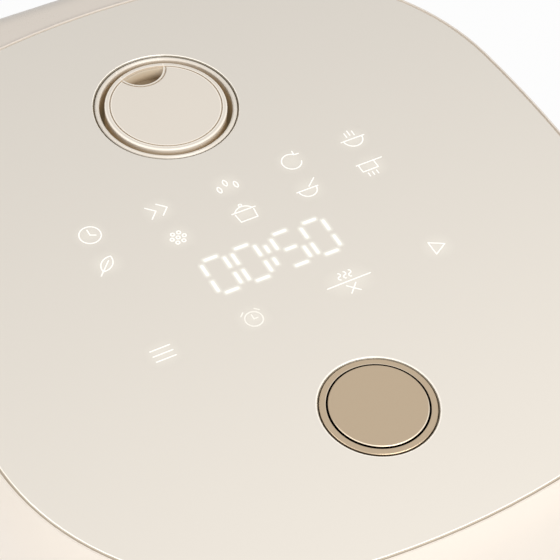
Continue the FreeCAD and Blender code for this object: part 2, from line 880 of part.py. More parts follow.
def make_sensor_cap():
    """Sprung thermostat cap that the pot's floor rests on."""
    cap = Piece("sensor_cap")
    top = S.pot_bottom - S.seal_clear
    under = top - S.sensor_face
    skirt = S.sensor_radius - S.sensor_wall
    stem_bottom = base_top + S.sensor_travel + S.sensor_room
    cap.turned([
        (0.0, stem_bottom),
        (S.sensor_stem, stem_bottom),
        (S.sensor_stem, under),
        (skirt, under),
        (skirt, plate_bottom),
        (S.sensor_radius, plate_bottom),
        (S.sensor_radius, top - S.sensor_edge),
        (S.sensor_radius - S.sensor_edge, top),
        (0.0, top),
    ])


def draw_on_board(sketch, corner, width, depth, shares):
    """Draw the rectangle that a part covers, given as shares of the board's width and depth."""
    x_low, x_high = (corner[0] + width * share for share in shares[:2])
    y_low, y_high = (corner[1] + depth * share for share in shares[2:])
    draw_box(sketch, x_low, x_high, y_low, y_high)


def make_power_board():
    """Power board on its stands: relay, transformer, capacitor and terminal block on the circuit board."""
    board = Piece("power_board")
    bottom = base_top + S.board_stand
    top = bottom + S.board_thick
    left = S.board_from_side - half_width - S.board_width / 2
    corner = (left, -S.board_depth / 2)
    card = board.flat(bottom)
    draw_on_board(card, corner, S.board_width, S.board_depth, (0.0, 1.0, 0.0, 1.0))
    board.pad(card, S.board_thick)
    low_parts = board.flat(top)
    relay = (0.09, 0.39, 0.16, 0.42)
    terminals = (0.74, 0.91, 0.13, 0.58)
    for shares in (relay, terminals):
        draw_on_board(low_parts, corner, S.board_width, S.board_depth, shares)
    board.pad(low_parts, S.board_stand * 2)
    tall_parts = board.flat(top)
    transformer = (0.09, 0.52, 0.58, 0.84)
    draw_on_board(tall_parts, corner, S.board_width, S.board_depth, transformer)
    capacitor_x = left + S.board_width * 0.78
    capacitor_y = S.board_depth * 0.21
    draw_circle(tall_parts, capacitor_x, capacitor_y, S.board_stand * 1.2)
    board.pad(tall_parts, S.board_stand * 2.4)


def make_mains_inlet():
    """Inlet in the rear wall: a flanged shell round a socket with two cut corners."""
    inlet = Piece("mains_inlet")
    rear = half_depth + S.belly_bulge
    half_x = S.inlet_width / 2
    half_z = S.inlet_height / 2
    edge_x = half_x + S.inlet_flange
    edge_z = half_z + S.inlet_flange
    seat = rear - S.slip_gap / 2
    flange = inlet.sketch("XZ_Plane", y=S.belly_height, z=-seat)
    draw_box(flange, -edge_x, edge_x, -edge_z, edge_z)
    inlet.pad(flange, S.inlet_flange_thick, Reversed=True)
    corner = S.inlet_flange * 0.8
    upright = lambda edge: len(edge.Vertexes) == 2 and abs(edge.BoundBox.YLength) > float(corner) * 0.5
    inlet.softened("Fillet", upright, Radius=corner)
    housing = inlet.sketch("XZ_Plane", y=S.belly_height, z=-seat)
    draw_box(housing, -half_x, half_x, -half_z, half_z)
    inlet.pad(housing, S.inlet_depth)
    socket = inlet.sketch("XZ_Plane", y=S.belly_height, z=-seat - S.inlet_flange_thick)
    hole_x = half_x - S.inlet_wall
    hole_z = half_z - S.inlet_wall
    draw_outline(socket, [
        (-hole_x, -hole_z),
        (hole_x, -hole_z),
        (hole_x, hole_z - S.inlet_cut),
        (hole_x - S.inlet_cut, hole_z),
        (S.inlet_cut - hole_x, hole_z),
        (-hole_x, hole_z - S.inlet_cut),
    ])
    inlet.pocket(socket, S.inlet_cavity + S.inlet_flange_thick, Reversed=True)


def make_inlet_pins():
    """Three contact pins that stand in the socket's floor."""
    pins = Piece("inlet_pins")
    floor = half_depth + S.belly_bulge - S.slip_gap / 2 - S.inlet_cavity
    blades = pins.sketch("XZ_Plane", y=S.belly_height, z=-floor)
    half_x = S.pin_half_width
    half_z = S.pin_half_height
    for x, z in ((-S.pin_spread, -S.pin_offset), (S.pin_spread, -S.pin_offset), (0.0, S.pin_offset)):
        draw_box(blades, x - half_x, x + half_x, z - half_z, z + half_z)
    pins.pad(blades, S.pin_reach, Reversed=True)


def make_hinge_housing():
    """Rear housing: a hump on the back wall with a trough for the lid's knuckle and two lugs for the pin."""
    housing = Piece("hinge_housing")
    root = half_depth - S.housing_corner
    slope_top = housing_bottom + (hinge_z - housing_bottom) * S.housing_slope
    crown = hinge_z - S.crown_drop
    rim = S.housing_wall
    hump = housing.sketch("YZ_Plane")
    draw_outline(hump, [
        (root, housing_bottom),
        (front_reach, housing_bottom),
        (housing_back, slope_top),
        (housing_back, crown - rim),
        (housing_back - rim, crown, rim, "left"),
        (root, crown),
    ])
    housing.pad(hump, lug_outer * 2, SideType="Symmetric")
    rear_corner = lambda edge: (
        edge.BoundBox.XLength < 1e-3
        and edge.BoundBox.YMin > float(half_depth)
        and edge.BoundBox.ZLength > float(rim) * 2
    )
    housing.softened("Fillet", rear_corner, Radius=S.housing_corner)
    lug = housing.sketch("YZ_Plane", z=lug_inner)
    side = S.lug_radius
    draw_outline(lug, [
        (hinge_y - side, crown - side),
        (hinge_y + side, crown - side),
        (hinge_y + side, hinge_z),
        (hinge_y, hinge_z + side, side, "left"),
        (hinge_y - side, hinge_z, side, "left"),
    ])
    housing.mirrored(housing.pad(lug, S.lug_thick))
    trough = housing.sketch("YZ_Plane")
    draw_circle(trough, hinge_y, hinge_z, S.trough_radius)
    housing.pocket(trough, lug_inner * 2, SideType="Symmetric")
    hollow = housing.sketch("YZ_Plane")
    hollow_back = housing_back - S.housing_wall
    hollow_bottom = housing_bottom + S.housing_wall * 2
    hollow_top = hinge_z - S.trough_radius - S.housing_wall
    draw_outline(hollow, [
        (root, hollow_bottom),
        (front_reach, hollow_bottom),
        (hollow_back, slope_top),
        (hollow_back, hollow_top),
        (root, hollow_top),
    ])
    housing.pocket(hollow, lug_inner * 2, SideType="Symmetric")
    wall_side = housing.flat(housing_bottom - S.over_cut)
    draw_soft_square(wall_side, S.belly_bulge + S.slip_gap / 2)
    housing.pocket(wall_side, S.panel_top, Reversed=True)
    bore = housing.sketch("YZ_Plane")
    draw_circle(bore, hinge_y, hinge_z, S.hinge_pin_radius + S.pin_fit / 2)
    housing.pocket(bore, lug_outer * 3, SideType="Symmetric")


def make_hinge_pin():
    """Steel pin through both lugs and the lid's knuckle."""
    pin = doc.addObject("Part::Cylinder", "hinge_pin")
    pin.Radius = float(S.hinge_pin_radius)
    tie(pin, "Radius", S.hinge_pin_radius)
    pin.Height = float(lug_outer * 2)
    tie(pin, "Height", lug_outer * 2)
    pin.Placement.Rotation = FreeCAD.Rotation(FreeCAD.Vector(0, 1, 0), 90)
    place(pin, x=-lug_outer, y=hinge_y, z=hinge_z)
    pieces.append(pin)


def make_lid_frame():
    """Upper half of the lid: soft shoulder wall, deck under the glass and the hinge knuckle."""
    frame = Piece("lid_frame")
    land = S.panel_gap + S.frame_land
    rim_top = S.panel_top - S.slip_gap / 2
    drop = S.shoulder_bulge - land
    shoulder = bulge_radius(rim_top - shoulder_height, drop)
    ledge = -S.lid_wall * 4
    frame.swept([
        (S.seam_bulge - S.seam_round, frame_bottom),
        (S.seam_bulge, frame_bottom + S.seam_round, S.seam_round, "left"),
        (S.shoulder_bulge, shoulder_height),
        (land, rim_top, shoulder, "left"),
        (ledge, rim_top),
        (ledge, deck_bottom),
        (land - S.frame_land * 2, deck_bottom),
        (S.shoulder_bulge - S.lid_wall, shoulder_height),
        (S.seam_bulge - S.lid_wall, frame_bottom),
    ])
    deck = frame.flat(deck_bottom)
    draw_soft_square(deck, ledge / 2)
    frame.pad(deck, S.deck_thick)
    add_knuckle(frame)
    recess = frame.flat(panel_bottom)
    draw_soft_square(recess, S.panel_gap)
    frame.pocket(recess, S.panel_thick * 2, Reversed=True)
    openings = frame.flat(deck_bottom)
    draw_circle(openings, 0.0, vent_back, panel_clear)
    draw_circle(openings, 0.0, -button_front, S.bezel_radius + S.slip_gap)
    clear = S.display_half_width + S.slip_gap
    draw_box(openings, -clear, clear, -S.display_front - S.slip_gap, display_back + S.slip_gap)
    frame.pocket(openings, S.deck_thick, Reversed=True)


def add_knuckle(frame):
    """Build the knuckle on the back of the lid frame, with its bore and two spring chambers."""
    front = half_depth - S.hinge_back / 2
    crown_y = hinge_y - S.frame_land * 4
    crown_z = S.panel_top - S.knuckle_drop
    back = crown_y + S.knuckle_crown
    inner = hinge_y - S.knuckle_radius
    outline = frame.sketch("YZ_Plane")
    draw_outline(outline, [
        (front, hinge_z),
        (inner, hinge_z),
        (hinge_y, hinge_z - S.knuckle_radius, S.knuckle_radius, "left"),
        (hinge_y + S.knuckle_radius, hinge_z, S.knuckle_radius, "left"),
        (back, crown_z - S.knuckle_crown),
        (crown_y, crown_z, S.knuckle_crown, "left"),
        (front, S.panel_top - S.frame_land),
    ])
    frame.pad(outline, S.knuckle_half_width * 2, SideType="Symmetric")
    bore = frame.sketch("YZ_Plane")
    draw_circle(bore, hinge_y, hinge_z, S.hinge_pin_radius + S.pin_fit)
    frame.pocket(bore, S.knuckle_half_width * 3, SideType="Symmetric")
    chambers = frame.flat(hinge_z - S.knuckle_radius * 1.5)
    near, far = chamber_ends()
    half = S.hinge_spring_radius + S.hinge_wire + S.slip_gap
    for low, high in ((near, far), (-far, -near)):
        draw_box(chambers, low, high, hinge_y - half, hinge_y + half)
    frame.pocket(chambers, S.knuckle_radius * 1.5 + half, Reversed=True)


def chamber_ends():
    """Inner and outer ends, along the pin, of a spring chamber."""
    near = S.hinge_spring_length / 2
    return near, near + S.hinge_spring_length + S.hinge_wire * 2 + S.slip_gap * 2


def make_top_panel():
    """Flat glass with polished bevels, pierced for the vent and the button."""
    panel = Piece("top_panel")
    sheet = panel.flat(panel_bottom)
    draw_soft_square(sheet, 0.0)
    panel.pad(sheet, S.panel_thick)
    holes = panel.flat(panel_bottom)
    draw_circle(holes, 0.0, vent_back, panel_clear)
    draw_circle(holes, 0.0, -button_front, S.bezel_radius + S.slip_gap)
    panel.pocket(holes, S.panel_thick, Reversed=True)
    panel.softened("Chamfer", level_at(S.panel_top), Size=S.panel_bevel)


def make_vent_seat():
    """Cup that the steam valve stands in, with its ring flush with the glass and a spigot below."""
    seat = Piece("vent_seat")
    floor_top = vent_floor + S.vent_wall
    bevel = S.panel_bevel
    spigot_inner = S.spigot_radius - S.vent_wall
    spigot_bottom = inner_lid_bottom + S.inner_lid_thick + S.slip_gap
    seat.turned(
        [
            (spigot_inner, spigot_bottom),
            (S.spigot_radius, spigot_bottom),
            (S.spigot_radius, vent_floor),
            (S.vent_radius, vent_floor),
            (S.vent_radius, deck_bottom - S.deck_thick),
            (vent_flange, deck_bottom - S.deck_thick),
            (vent_flange, deck_bottom),
            (S.vent_radius, deck_bottom),
            (S.vent_radius, S.panel_top - bevel),
            (S.vent_radius - bevel, S.panel_top),
            (vent_inner + bevel, S.panel_top),
            (vent_inner, S.panel_top - bevel),
            (vent_inner, floor_top),
            (spigot_inner, floor_top),
        ],
        y=vent_back,
    )


def make_vent_seal():
    """Soft ring between the spigot and the inner lid."""
    seal = Piece("vent_seal")
    inner = S.spigot_radius + S.slip_gap
    bottom = inner_lid_bottom + S.inner_lid_thick
    seal.turned(
        [
            (inner, bottom),
            (inner + S.grommet_wall, bottom),
            (inner + S.grommet_wall, cover_bottom),
            (inner, cover_bottom),
        ],
        y=vent_back,
    )


def notch_crossing(reach, limit):
    """Right-hand point where a circle about the notch's centre meets a circle about the cap's axis."""
    along = (limit * limit - reach * reach + S.notch_back * S.notch_back) / (S.notch_back * 2)
    across = (limit * limit - along * along).root()
    return across, vent_back + along


def make_steam_cap():
    """Lift-off cap: a disc with a soft edge, a finger notch at the back and engraved lines round both."""
    cap = Piece("steam_cap")
    top = S.panel_top + S.cap_proud
    bottom = top - S.cap_thick
    edge = S.cap_edge
    plug = S.valve_radius - S.valve_wall - S.slip_gap
    cap.turned(
        [
            (0.0, bottom - S.cap_plug),
            (plug, bottom - S.cap_plug),
            (plug, bottom),
            (S.cap_radius, bottom),
            (S.cap_radius, top - edge),
            (S.cap_radius - edge, top, edge, "left"),
            (0.0, top),
        ],
        y=vent_back,
    )
    # The notch's outer side follows the engraved ring, and its inner side is a fingertip's arc
    ring_outer = S.cap_groove + S.cap_groove_width / 2
    ring_inner = ring_outer - S.cap_groove_width
    notch_centre = vent_back + S.notch_back
    side_x, side_y = notch_crossing(S.notch_radius, ring_inner)
    notch = cap.flat(top)
    draw_outline(notch, [
        (0.0, notch_centre - S.notch_radius, S.notch_radius, "left"),
        (side_x, side_y, S.notch_radius, "left"),
        (-side_x, side_y, ring_inner, "left"),
    ])
    cap.pocket(notch, S.notch_depth)
    front_rim = lambda rim: level_at(top)(rim) and abs(rim.Curve.Radius - float(S.notch_radius)) < 1e-4
    cap.softened("Fillet", front_rim, Radius=S.notch_round)
    ring_floor = top - S.cap_groove_width
    cap.turned(
        [
            (ring_inner, ring_floor),
            (ring_outer, ring_floor),
            (ring_outer, top + S.over_cut),
            (ring_inner, top + S.over_cut),
        ],
        y=vent_back,
        kind="Groove",
    )
    near = S.notch_radius + S.notch_lip
    far = near + S.cap_groove_width
    near_x, near_y = notch_crossing(near, S.cap_groove)
    far_x, far_y = notch_crossing(far, S.cap_groove)
    line = cap.flat(top)
    draw_outline(line, [
        (0.0, notch_centre - far, far, "left"),
        (far_x, far_y, far, "left"),
        (near_x, near_y),
        (0.0, notch_centre - near, near, "right"),
        (-near_x, near_y, near, "right"),
        (-far_x, far_y),
    ])
    cap.pocket(line, S.cap_groove_width)


def make_valve_body():
    """Cup under the cap that catches bubbling starch, with a spout that opens inside it."""
    valve = Piece("valve_body")
    top = S.panel_top + S.cap_proud - S.cap_thick
    bottom = vent_floor + S.vent_wall + S.slip_gap
    inner = S.valve_radius - S.valve_wall
    bore = S.spout_radius - S.spout_wall
    spout_bottom = bottom - S.cap_thick
    spout_top = bottom + S.cap_thick
    valve.turned(
        [
            (bore, spout_bottom),
            (S.spout_radius, spout_bottom),
            (S.spout_radius, bottom),
            (S.valve_radius, bottom),
            (S.valve_radius, top),
            (inner, top),
            (inner, bottom + S.valve_wall),
            (S.spout_radius, bottom + S.valve_wall),
            (S.spout_radius, spout_top),
            (bore, spout_top),
        ],
        y=vent_back,
    )


def make_valve_gasket():
    """Soft ring on the spout that closes the spigot's bore."""
    gasket = Piece("valve_gasket")
    bottom = vent_floor + S.vent_wall + S.slip_gap
    outer = S.spigot_radius - S.vent_wall - S.slip_gap
    gasket.turned(
        [
            (S.spout_radius, bottom - S.valve_wall * 2),
            (outer, bottom - S.valve_wall * 2),
            (outer, bottom),
            (S.spout_radius, bottom),
        ],
        y=vent_back,
    )


def make_button_bezel():
    """Ring round the button, with a sleeve that guides it and a ledge for its spring."""
    bezel = Piece("button_bezel")
    flange = S.bezel_radius + S.bezel_wall * 1.5
    bottom = S.panel_top - S.bezel_depth
    ledge_top = bottom + S.bezel_wall
    ledge_hole = S.plunger_radius + S.slip_gap
    bevel = S.button_bevel
    bezel.turned(
        [
            (ledge_hole, bottom),
            (S.bezel_radius, bottom),
            (S.bezel_radius, deck_bottom - S.deck_thick),
            (flange, deck_bottom - S.deck_thick),
            (flange, deck_bottom),
            (S.bezel_radius, deck_bottom),
            (S.bezel_radius, S.panel_top - bevel),
            (S.bezel_radius - bevel, S.panel_top),
            (bezel_inner + bevel, S.panel_top),
            (bezel_inner, S.panel_top - bevel),
            (bezel_inner, ledge_top),
            (ledge_hole, ledge_top),
        ],
        y=-button_front,
    )


def button_plate_bottom():
    """Height of the underside of the button's face."""
    return S.panel_top + S.button_proud - S.button_face


def make_release_button():
    """Round metal button face with a skirt and a bevelled edge."""
    button = Piece("release_button")
    top = S.panel_top + S.button_proud
    bevel = S.button_bevel
    skirt = S.button_radius - S.button_wall
    under = button_plate_bottom()
    button.turned(
        [
            (0.0, under),
            (skirt, under),
            (skirt, top - S.button_skirt),
            (S.button_radius, top - S.button_skirt),
            (S.button_radius, top - bevel),
            (S.button_radius - bevel, top),
            (0.0, top),
        ],
        y=-button_front,
    )


def make_button_plunger():
    """Plunger under the button's face, with a narrow tip over the latch lever."""
    plunger = Piece("button_plunger")
    top = button_plate_bottom()
    flange = S.button_radius - S.button_wall - S.slip_gap
    under = top - S.plunger_flange
    plunger.turned(
        [
            (0.0, plunger_bottom),
            (S.plunger_tip, plunger_bottom),
            (S.plunger_radius, plunger_bottom + S.plunger_tip),
            (S.plunger_radius, under),
            (flange, under),
            (flange, top),
            (0.0, top),
        ],
        y=-button_front,
    )


def make_latch_lever():
    """Rocking lever: a pad under the plunger, a boss on the pin and a hook that reaches into the body."""
    lever = Piece("latch_lever")
    pad_top = plunger_bottom - S.seal_clear
    pad_rear = S.plunger_radius - button_front
    pad_front = -button_front - S.plunger_radius
    boss_y = -latch_front
    boss_z = latch_height
    boss = S.latch_boss
    back = S.hook_thick - hook_front
    nose_tip = back + S.nose_reach
    nose_top = hook_bottom + S.nose_height
    profile = lever.sketch("YZ_Plane")
    draw_outline(profile, [
        (boss_y, boss_z + boss),
        (boss_y - boss, boss_z, boss, "left"),
        (-hook_front, boss_z - boss * 2),
        (-hook_front, hook_bottom),
        (back - S.hook_thick / 2, hook_bottom),
        (nose_tip, nose_top - S.nose_edge),
        (nose_tip, nose_top),
        (back, nose_top),
        (back, boss_z - boss * 2.3),
        (boss_y, boss_z - boss),
        (pad_front, pad_top - boss),
        (pad_rear, pad_top - boss * 0.6),
        (pad_rear, pad_top),
        (pad_front, pad_top),
    ])
    lever.pad(profile, S.latch_half_width * 2, SideType="Symmetric")
    bore = lever.sketch("YZ_Plane")
    draw_circle(bore, boss_y, boss_z, S.latch_pin_radius + S.pin_fit)
    lever.pocket(bore, S.latch_half_width * 4, SideType="Symmetric")


def post_ends():
    """Inner and outer faces of the posts that hold the latch pin."""
    inner = S.latch_half_width + S.post_gap
    return inner, inner + S.post_thick


def make_latch_pin():
    """Steel pin of the latch lever."""
    _, outer = post_ends()
    pin = doc.addObject("Part::Cylinder", "latch_pin")
    pin.Radius = float(S.latch_pin_radius)
    tie(pin, "Radius", S.latch_pin_radius)
    pin.Height = float(outer * 2)
    tie(pin, "Height", outer * 2)
    pin.Placement.Rotation = FreeCAD.Rotation(FreeCAD.Vector(0, 1, 0), 90)
    place(pin, x=-outer, y=-latch_front, z=latch_height)
    pieces.append(pin)


def lid_screw_places():
    """Centres of the six screws that join the lid's two halves."""
    across = half_width - S.lid_screw_inset
    along = half_depth / 2
    sides = [(sign * across, end * along) for sign in (1, -1) for end in (1, -1)]
    middles = [(sign * (across + S.lid_boss), 0.0) for sign in (1, -1)]
    return sides + middles


def make_lid_cover():
    """Lower half of the lid: a tray with screw bosses, the latch posts and holes for what passes through."""
    cover = Piece("lid_cover")
    tray = cover.flat(cover_bottom)
    draw_soft_square(tray, S.seam_bulge - S.lid_wall - S.slip_gap)
    cover.pad(tray, S.cover_thick)
    bosses = cover.flat(cover_top)
    for x, y in lid_screw_places():
        draw_circle(bosses, x, y, S.lid_boss)
    cover.pad(bosses, deck_bottom - cover_top)
    inner, _ = post_ends()
    post = cover.sketch("YZ_Plane", z=inner)
    boss_y = -latch_front
    boss_z = latch_height
    boss = S.latch_boss
    draw_outline(post, [
        (boss_y - boss, cover_top),
        (boss_y + boss, cover_top),
        (boss_y + boss, boss_z),
        (boss_y, boss_z + boss, boss, "left"),
        (boss_y - boss, boss_z, boss, "left"),
    ])
    cover.mirrored(cover.pad(post, S.post_thick))
    bore = cover.sketch("YZ_Plane")
    draw_circle(bore, boss_y, boss_z, S.latch_pin_radius + S.pin_fit / 2)
    cover.pocket(bore, S.slot_half_width * 4, SideType="Symmetric")
    holes = cover.flat(cover_bottom)
    draw_circle(holes, 0.0, vent_back, S.spigot_radius + S.slip_gap)
    draw_circle(holes, S.lid_sensor_side, 0.0, S.lid_sensor_radius + S.slip_gap)
    rear = -keeper_front + S.slip_gap
    half = S.latch_half_width + S.slip_gap * 2
    draw_box(holes, -half, half, -hook_front - S.hook_thick, rear)
    cover.pocket(holes, S.cover_thick, Reversed=True)
    heads = cover.flat(cover_bottom)
    shanks = cover.flat(cover_bottom)
    for x, y in lid_screw_places():
        draw_circle(heads, x, y, S.screw_head + S.slip_gap)
        draw_circle(shanks, x, y, S.screw_shank)
    cover.pocket(heads, S.screw_head_height, Reversed=True)
    cover.pocket(shanks, S.screw_head_height + S.screw_length, Reversed=True)


def make_lid_screws():
    """Screws up through the lid's lower cover into its bosses."""
    screws = Piece("lid_screws")
    heads = screws.flat(cover_bottom)
    shanks = screws.flat(cover_bottom + S.screw_head_height)
    for x, y in lid_screw_places():
        draw_circle(heads, x, y, S.screw_head)
        draw_circle(shanks, x, y, S.screw_shank - S.pin_fit)
    screws.pad(heads, S.screw_head_height)
    screws.pad(shanks, S.screw_length)


def make_inner_lid():
    """Removable metal plate under the lid, pierced for steam, the sensor and its stud."""
    lid = Piece("inner_lid")
    disc = lid.flat(inner_lid_bottom)
    draw_circle(disc, 0.0, 0.0, S.pot_radius - S.inner_lid_inset)
    lid.pad(disc, S.inner_lid_thick)
    holes = lid.flat(inner_lid_bottom)
    draw_circle(holes, 0.0, 0.0, S.stud_radius + S.grommet_wall)
    draw_circle(holes, S.lid_sensor_side, 0.0, S.lid_sensor_radius + S.slip_gap)
    spread = S.spigot_radius * 0.6
    draw_circle(holes, 0.0, vent_back, S.stud_radius / 2)
    for number in range(6):
        turn = math.radians(60 * number)
        x = spread * math.cos(turn)
        y = spread * math.sin(turn)
        draw_circle(holes, x, vent_back + y, S.stud_radius / 2)
    lid.pocket(holes, S.inner_lid_thick, Reversed=True)


def make_lid_seal():
    """Silicone ring that grips the inner lid's edge and closes on the pot's rim."""
    seal = Piece("lid_seal")
    edge = S.seal_edge
    bottom = pot_rim_top + S.seal_clear
    slot_bottom = inner_lid_bottom
    slot_top = inner_lid_bottom + S.inner_lid_thick
    slot_end = S.pot_radius - S.inner_lid_inset
    inner = S.pot_radius - S.seal_inset
    outer = S.pot_radius + S.seal_past_pot
    lip = S.pot_radius - S.pot_wall - edge
    seal.turned([
        (inner, slot_top),
        (slot_end, slot_top),
        (slot_end, slot_bottom),
        (inner, slot_bottom),
        (inner, bottom + S.seal_clear * 2),
        (lip, bottom),
        (outer - edge, bottom),
        (outer, bottom + edge),
        (outer, cover_bottom - edge),
        (outer - edge, cover_bottom),
        (inner, cover_bottom),
    ])


def make_lid_stud():
    """Stud under the lid that the inner lid's grommet snaps over."""
    stud = Piece("lid_stud")
    bottom = inner_lid_bottom - S.grommet_wall
    neck = S.stud_radius - S.stud_neck
    stud.turned([
        (0.0, bottom),
        (S.stud_radius - S.stud_edge, bottom),
        (S.stud_radius, bottom + S.stud_edge),
        (S.stud_radius, inner_lid_bottom - S.stud_edge),
        (neck, inner_lid_bottom),
        (neck, cover_bottom),
        (0.0, cover_bottom),
    ])


def make_lid_grommet():
    """Silicone grommet in the middle of the inner lid, gripping the stud."""
    grommet = Piece("lid_grommet")
    bore = S.stud_radius - S.stud_neck + S.pin_fit
    hole = S.stud_radius + S.grommet_wall
    outer = hole + S.grommet_lip
    slot_bottom = inner_lid_bottom
    slot_top = slot_bottom + S.inner_lid_thick
    lip_under = slot_bottom - S.stud_edge
    grommet.turned([
        (bore, slot_bottom),
        (S.stud_radius + S.slip_gap, lip_under),
        (outer, lip_under),
        (outer, slot_bottom),
        (hole, slot_bottom),
        (hole, slot_top),
        (outer, slot_top),
        (outer, cover_bottom),
        (bore, cover_bottom),
    ])


def make_lid_sensor():
    """Thermistor button that looks through the inner lid at the steam."""
    sensor = Piece("lid_sensor")
    tip = inner_lid_bottom - S.inner_lid_thick
    stem = sensor.flat(tip)
    draw_circle(stem, S.lid_sensor_side, 0.0, S.lid_sensor_radius)
    sensor.pad(stem, cover_top - tip)
    flange = sensor.flat(cover_top)
    draw_circle(flange, S.lid_sensor_side, 0.0, S.lid_sensor_radius + S.lid_sensor_flange)
    sensor.pad(flange, S.cover_thick)


def make_light_guide():
    """Light box under the glass, with a well for each digit and each menu sign."""
    guide = Piece("light_guide")
    bottom = panel_bottom - S.guide_depth
    block = guide.flat(bottom)
    draw_box(block, -S.display_half_width, S.display_half_width, -S.display_front, display_back)
    guide.pad(block, S.guide_depth)
    lip = guide.flat(deck_bottom - S.deck_thick)
    lip_x = S.display_half_width + S.guide_lip
    draw_box(lip, -lip_x, lip_x, -S.display_front - S.guide_lip, display_back + S.guide_lip)
    guide.pad(lip, S.deck_thick)
    wells = guide.flat(panel_bottom)
    depth = display_back + S.display_front
    digit_row, rear_row, next_row, front_row = (
        depth * share - S.display_front
        for share in (S.digit_row_share, S.rear_row_share, S.next_row_share, S.front_row_share)
    )
    first = -(S.digit_count - 1) * S.digit_pitch / 2
    for number in range(SIZES["digit_count"]):
        draw_well(wells, first + number * S.digit_pitch, digit_row, S.digit_width, S.digit_height)
    full_row = (-2, -1, 0, 1, 2)
    open_row = (-2, -0.7, 0.7, 2)
    for row, columns in ((rear_row, full_row), (next_row, full_row), (front_row, open_row)):
        for column in columns:
            draw_well(wells, column * S.label_pitch, row, S.label_width, S.label_height)
    guide.pocket(wells, S.well_depth)


def draw_well(sketch, x, y, width, height):
    """Draw one well of the light box about its middle."""
    draw_box(sketch, x - width / 2, x + width / 2, y - height / 2, y + height / 2)


def make_display_board():
    """Display board under the light box, with its controller, connector and buzzer below."""
    board = Piece("display_board")
    bottom = panel_bottom - S.guide_depth - S.board_thick
    corner = (-S.display_half_width - S.guide_lip / 2, -S.display_front - S.guide_lip / 2)
    width = S.display_half_width * 2 + S.guide_lip
    depth = display_back + S.display_front + S.guide_lip
    card = board.flat(bottom)
    draw_on_board(card, corner, width, depth, (0.0, 1.0, 0.0, 1.0))
    board.pad(card, S.board_thick)
    controller = board.flat(bottom)
    draw_on_board(controller, corner, width, depth, (0.44, 0.56, 0.38, 0.58))
    board.pad(controller, S.board_thick, Reversed=True)
    connector_and_buzzer = board.flat(bottom)
    draw_on_board(connector_and_buzzer, corner, width, depth, (0.66, 0.84, 0.4, 0.48))
    draw_circle(connector_and_buzzer, -width / 4, 0.0, S.board_stand * 1.5)
    board.pad(connector_and_buzzer, S.board_stand * 1.5, Reversed=True)


def coil(radius, wire, length, turns):
    """Make an upright coil of round wire: quarter turns, each of two tangent arcs, in one tube."""
    quarter = math.pi / 2
    rise = length / turns / (2 * math.pi)
    flat_run = radius / math.hypot(radius, rise)
    steep_run = rise / math.hypot(radius, rise)

    def point(turn):
        return FreeCAD.Vector(radius * math.cos(turn), radius * math.sin(turn), rise * turn)

    def heading(turn):
        return FreeCAD.Vector(-math.sin(turn) * flat_run, math.cos(turn) * flat_run, steep_run)

    def arc(start, along, end):
        chord = end - start
        unit = FreeCAD.Vector(chord).normalize()
        aside = (along - unit * along.dot(unit)).normalize()
        middle = (start + end) * 0.5 + aside * (chord.Length / 2 * math.tan(along.getAngle(chord) / 2))
        return Part.Arc(start, middle, end).toShape()

    edges = []
    for number in range(int(turns * 4)):
        start, end = point(quarter * number), point(quarter * (number + 1))
        leave, arrive = heading(quarter * number), heading(quarter * (number + 1))
        span = end - start
        both = span.dot(leave + arrive)
        bend = 2 * (1 - leave.dot(arrive))
        reach = (math.sqrt(both**2 + bend * span.dot(span)) - both) / bend
        join = (start + end + (leave - arrive) * reach) * 0.5
        edges.append(arc(start, leave, join))
        edges.append(arc(end, -arrive, join))
    path = Part.Wire(Part.__sortEdges__(edges))
    section = Part.Wire(Part.makeCircle(wire, point(0.0), heading(0.0)))
    return path.makePipeShell([section], True, False)


def make_spring(label, radius, wire, bottom, top, y=0.0):
    """Place an upright coil spring between two heights."""
    spring = doc.addObject("Part::Feature", label)
    lowest = bottom + wire
    length = top - wire - lowest
    spring.Shape = coil(float(radius), float(wire), float(length), SIZES["spring_turns"])
    place(spring, y=y, z=lowest)
    pieces.append(spring)


def make_hinge_springs():
    """Two coils on the hinge pin, in the knuckle's chambers, that lift the lid."""
    springs = doc.addObject("Part::Feature", "hinge_springs")
    near, far = chamber_ends()
    wire = float(S.hinge_wire)
    turn_over = FreeCAD.Placement(FreeCAD.Vector(), FreeCAD.Rotation(FreeCAD.Vector(0, 1, 0), 90))
    coils = []
    for start in (float(near), -float(far)):
        one = coil(float(S.hinge_spring_radius), wire, float(S.hinge_spring_length), SIZES["spring_turns"])
        one.Placement = turn_over
        one.translate(FreeCAD.Vector(start + wire + float(S.slip_gap), 0, 0))
        coils.append(one)
    springs.Shape = Part.makeCompound(coils)
    place(springs, y=hinge_y, z=hinge_z)
    pieces.append(springs)


def make_button_spring():
    """Coil between the bezel's ledge and the plunger's flange."""
    bottom = S.panel_top - S.bezel_depth + S.bezel_wall
    top = button_plate_bottom() - S.plunger_flange
    make_spring("button_spring", S.button_spring_radius, S.spring_wire, bottom, top, y=-button_front)


def make_sensor_spring():
    """Coil between the bracket's floor and the sensor cap."""
    bottom = plate_bottom - S.bracket_depth + S.well_wall
    top = S.pot_bottom - S.seal_clear - S.sensor_face
    make_spring("sensor_spring", S.sensor_spring_radius, S.spring_wire, bottom, top)


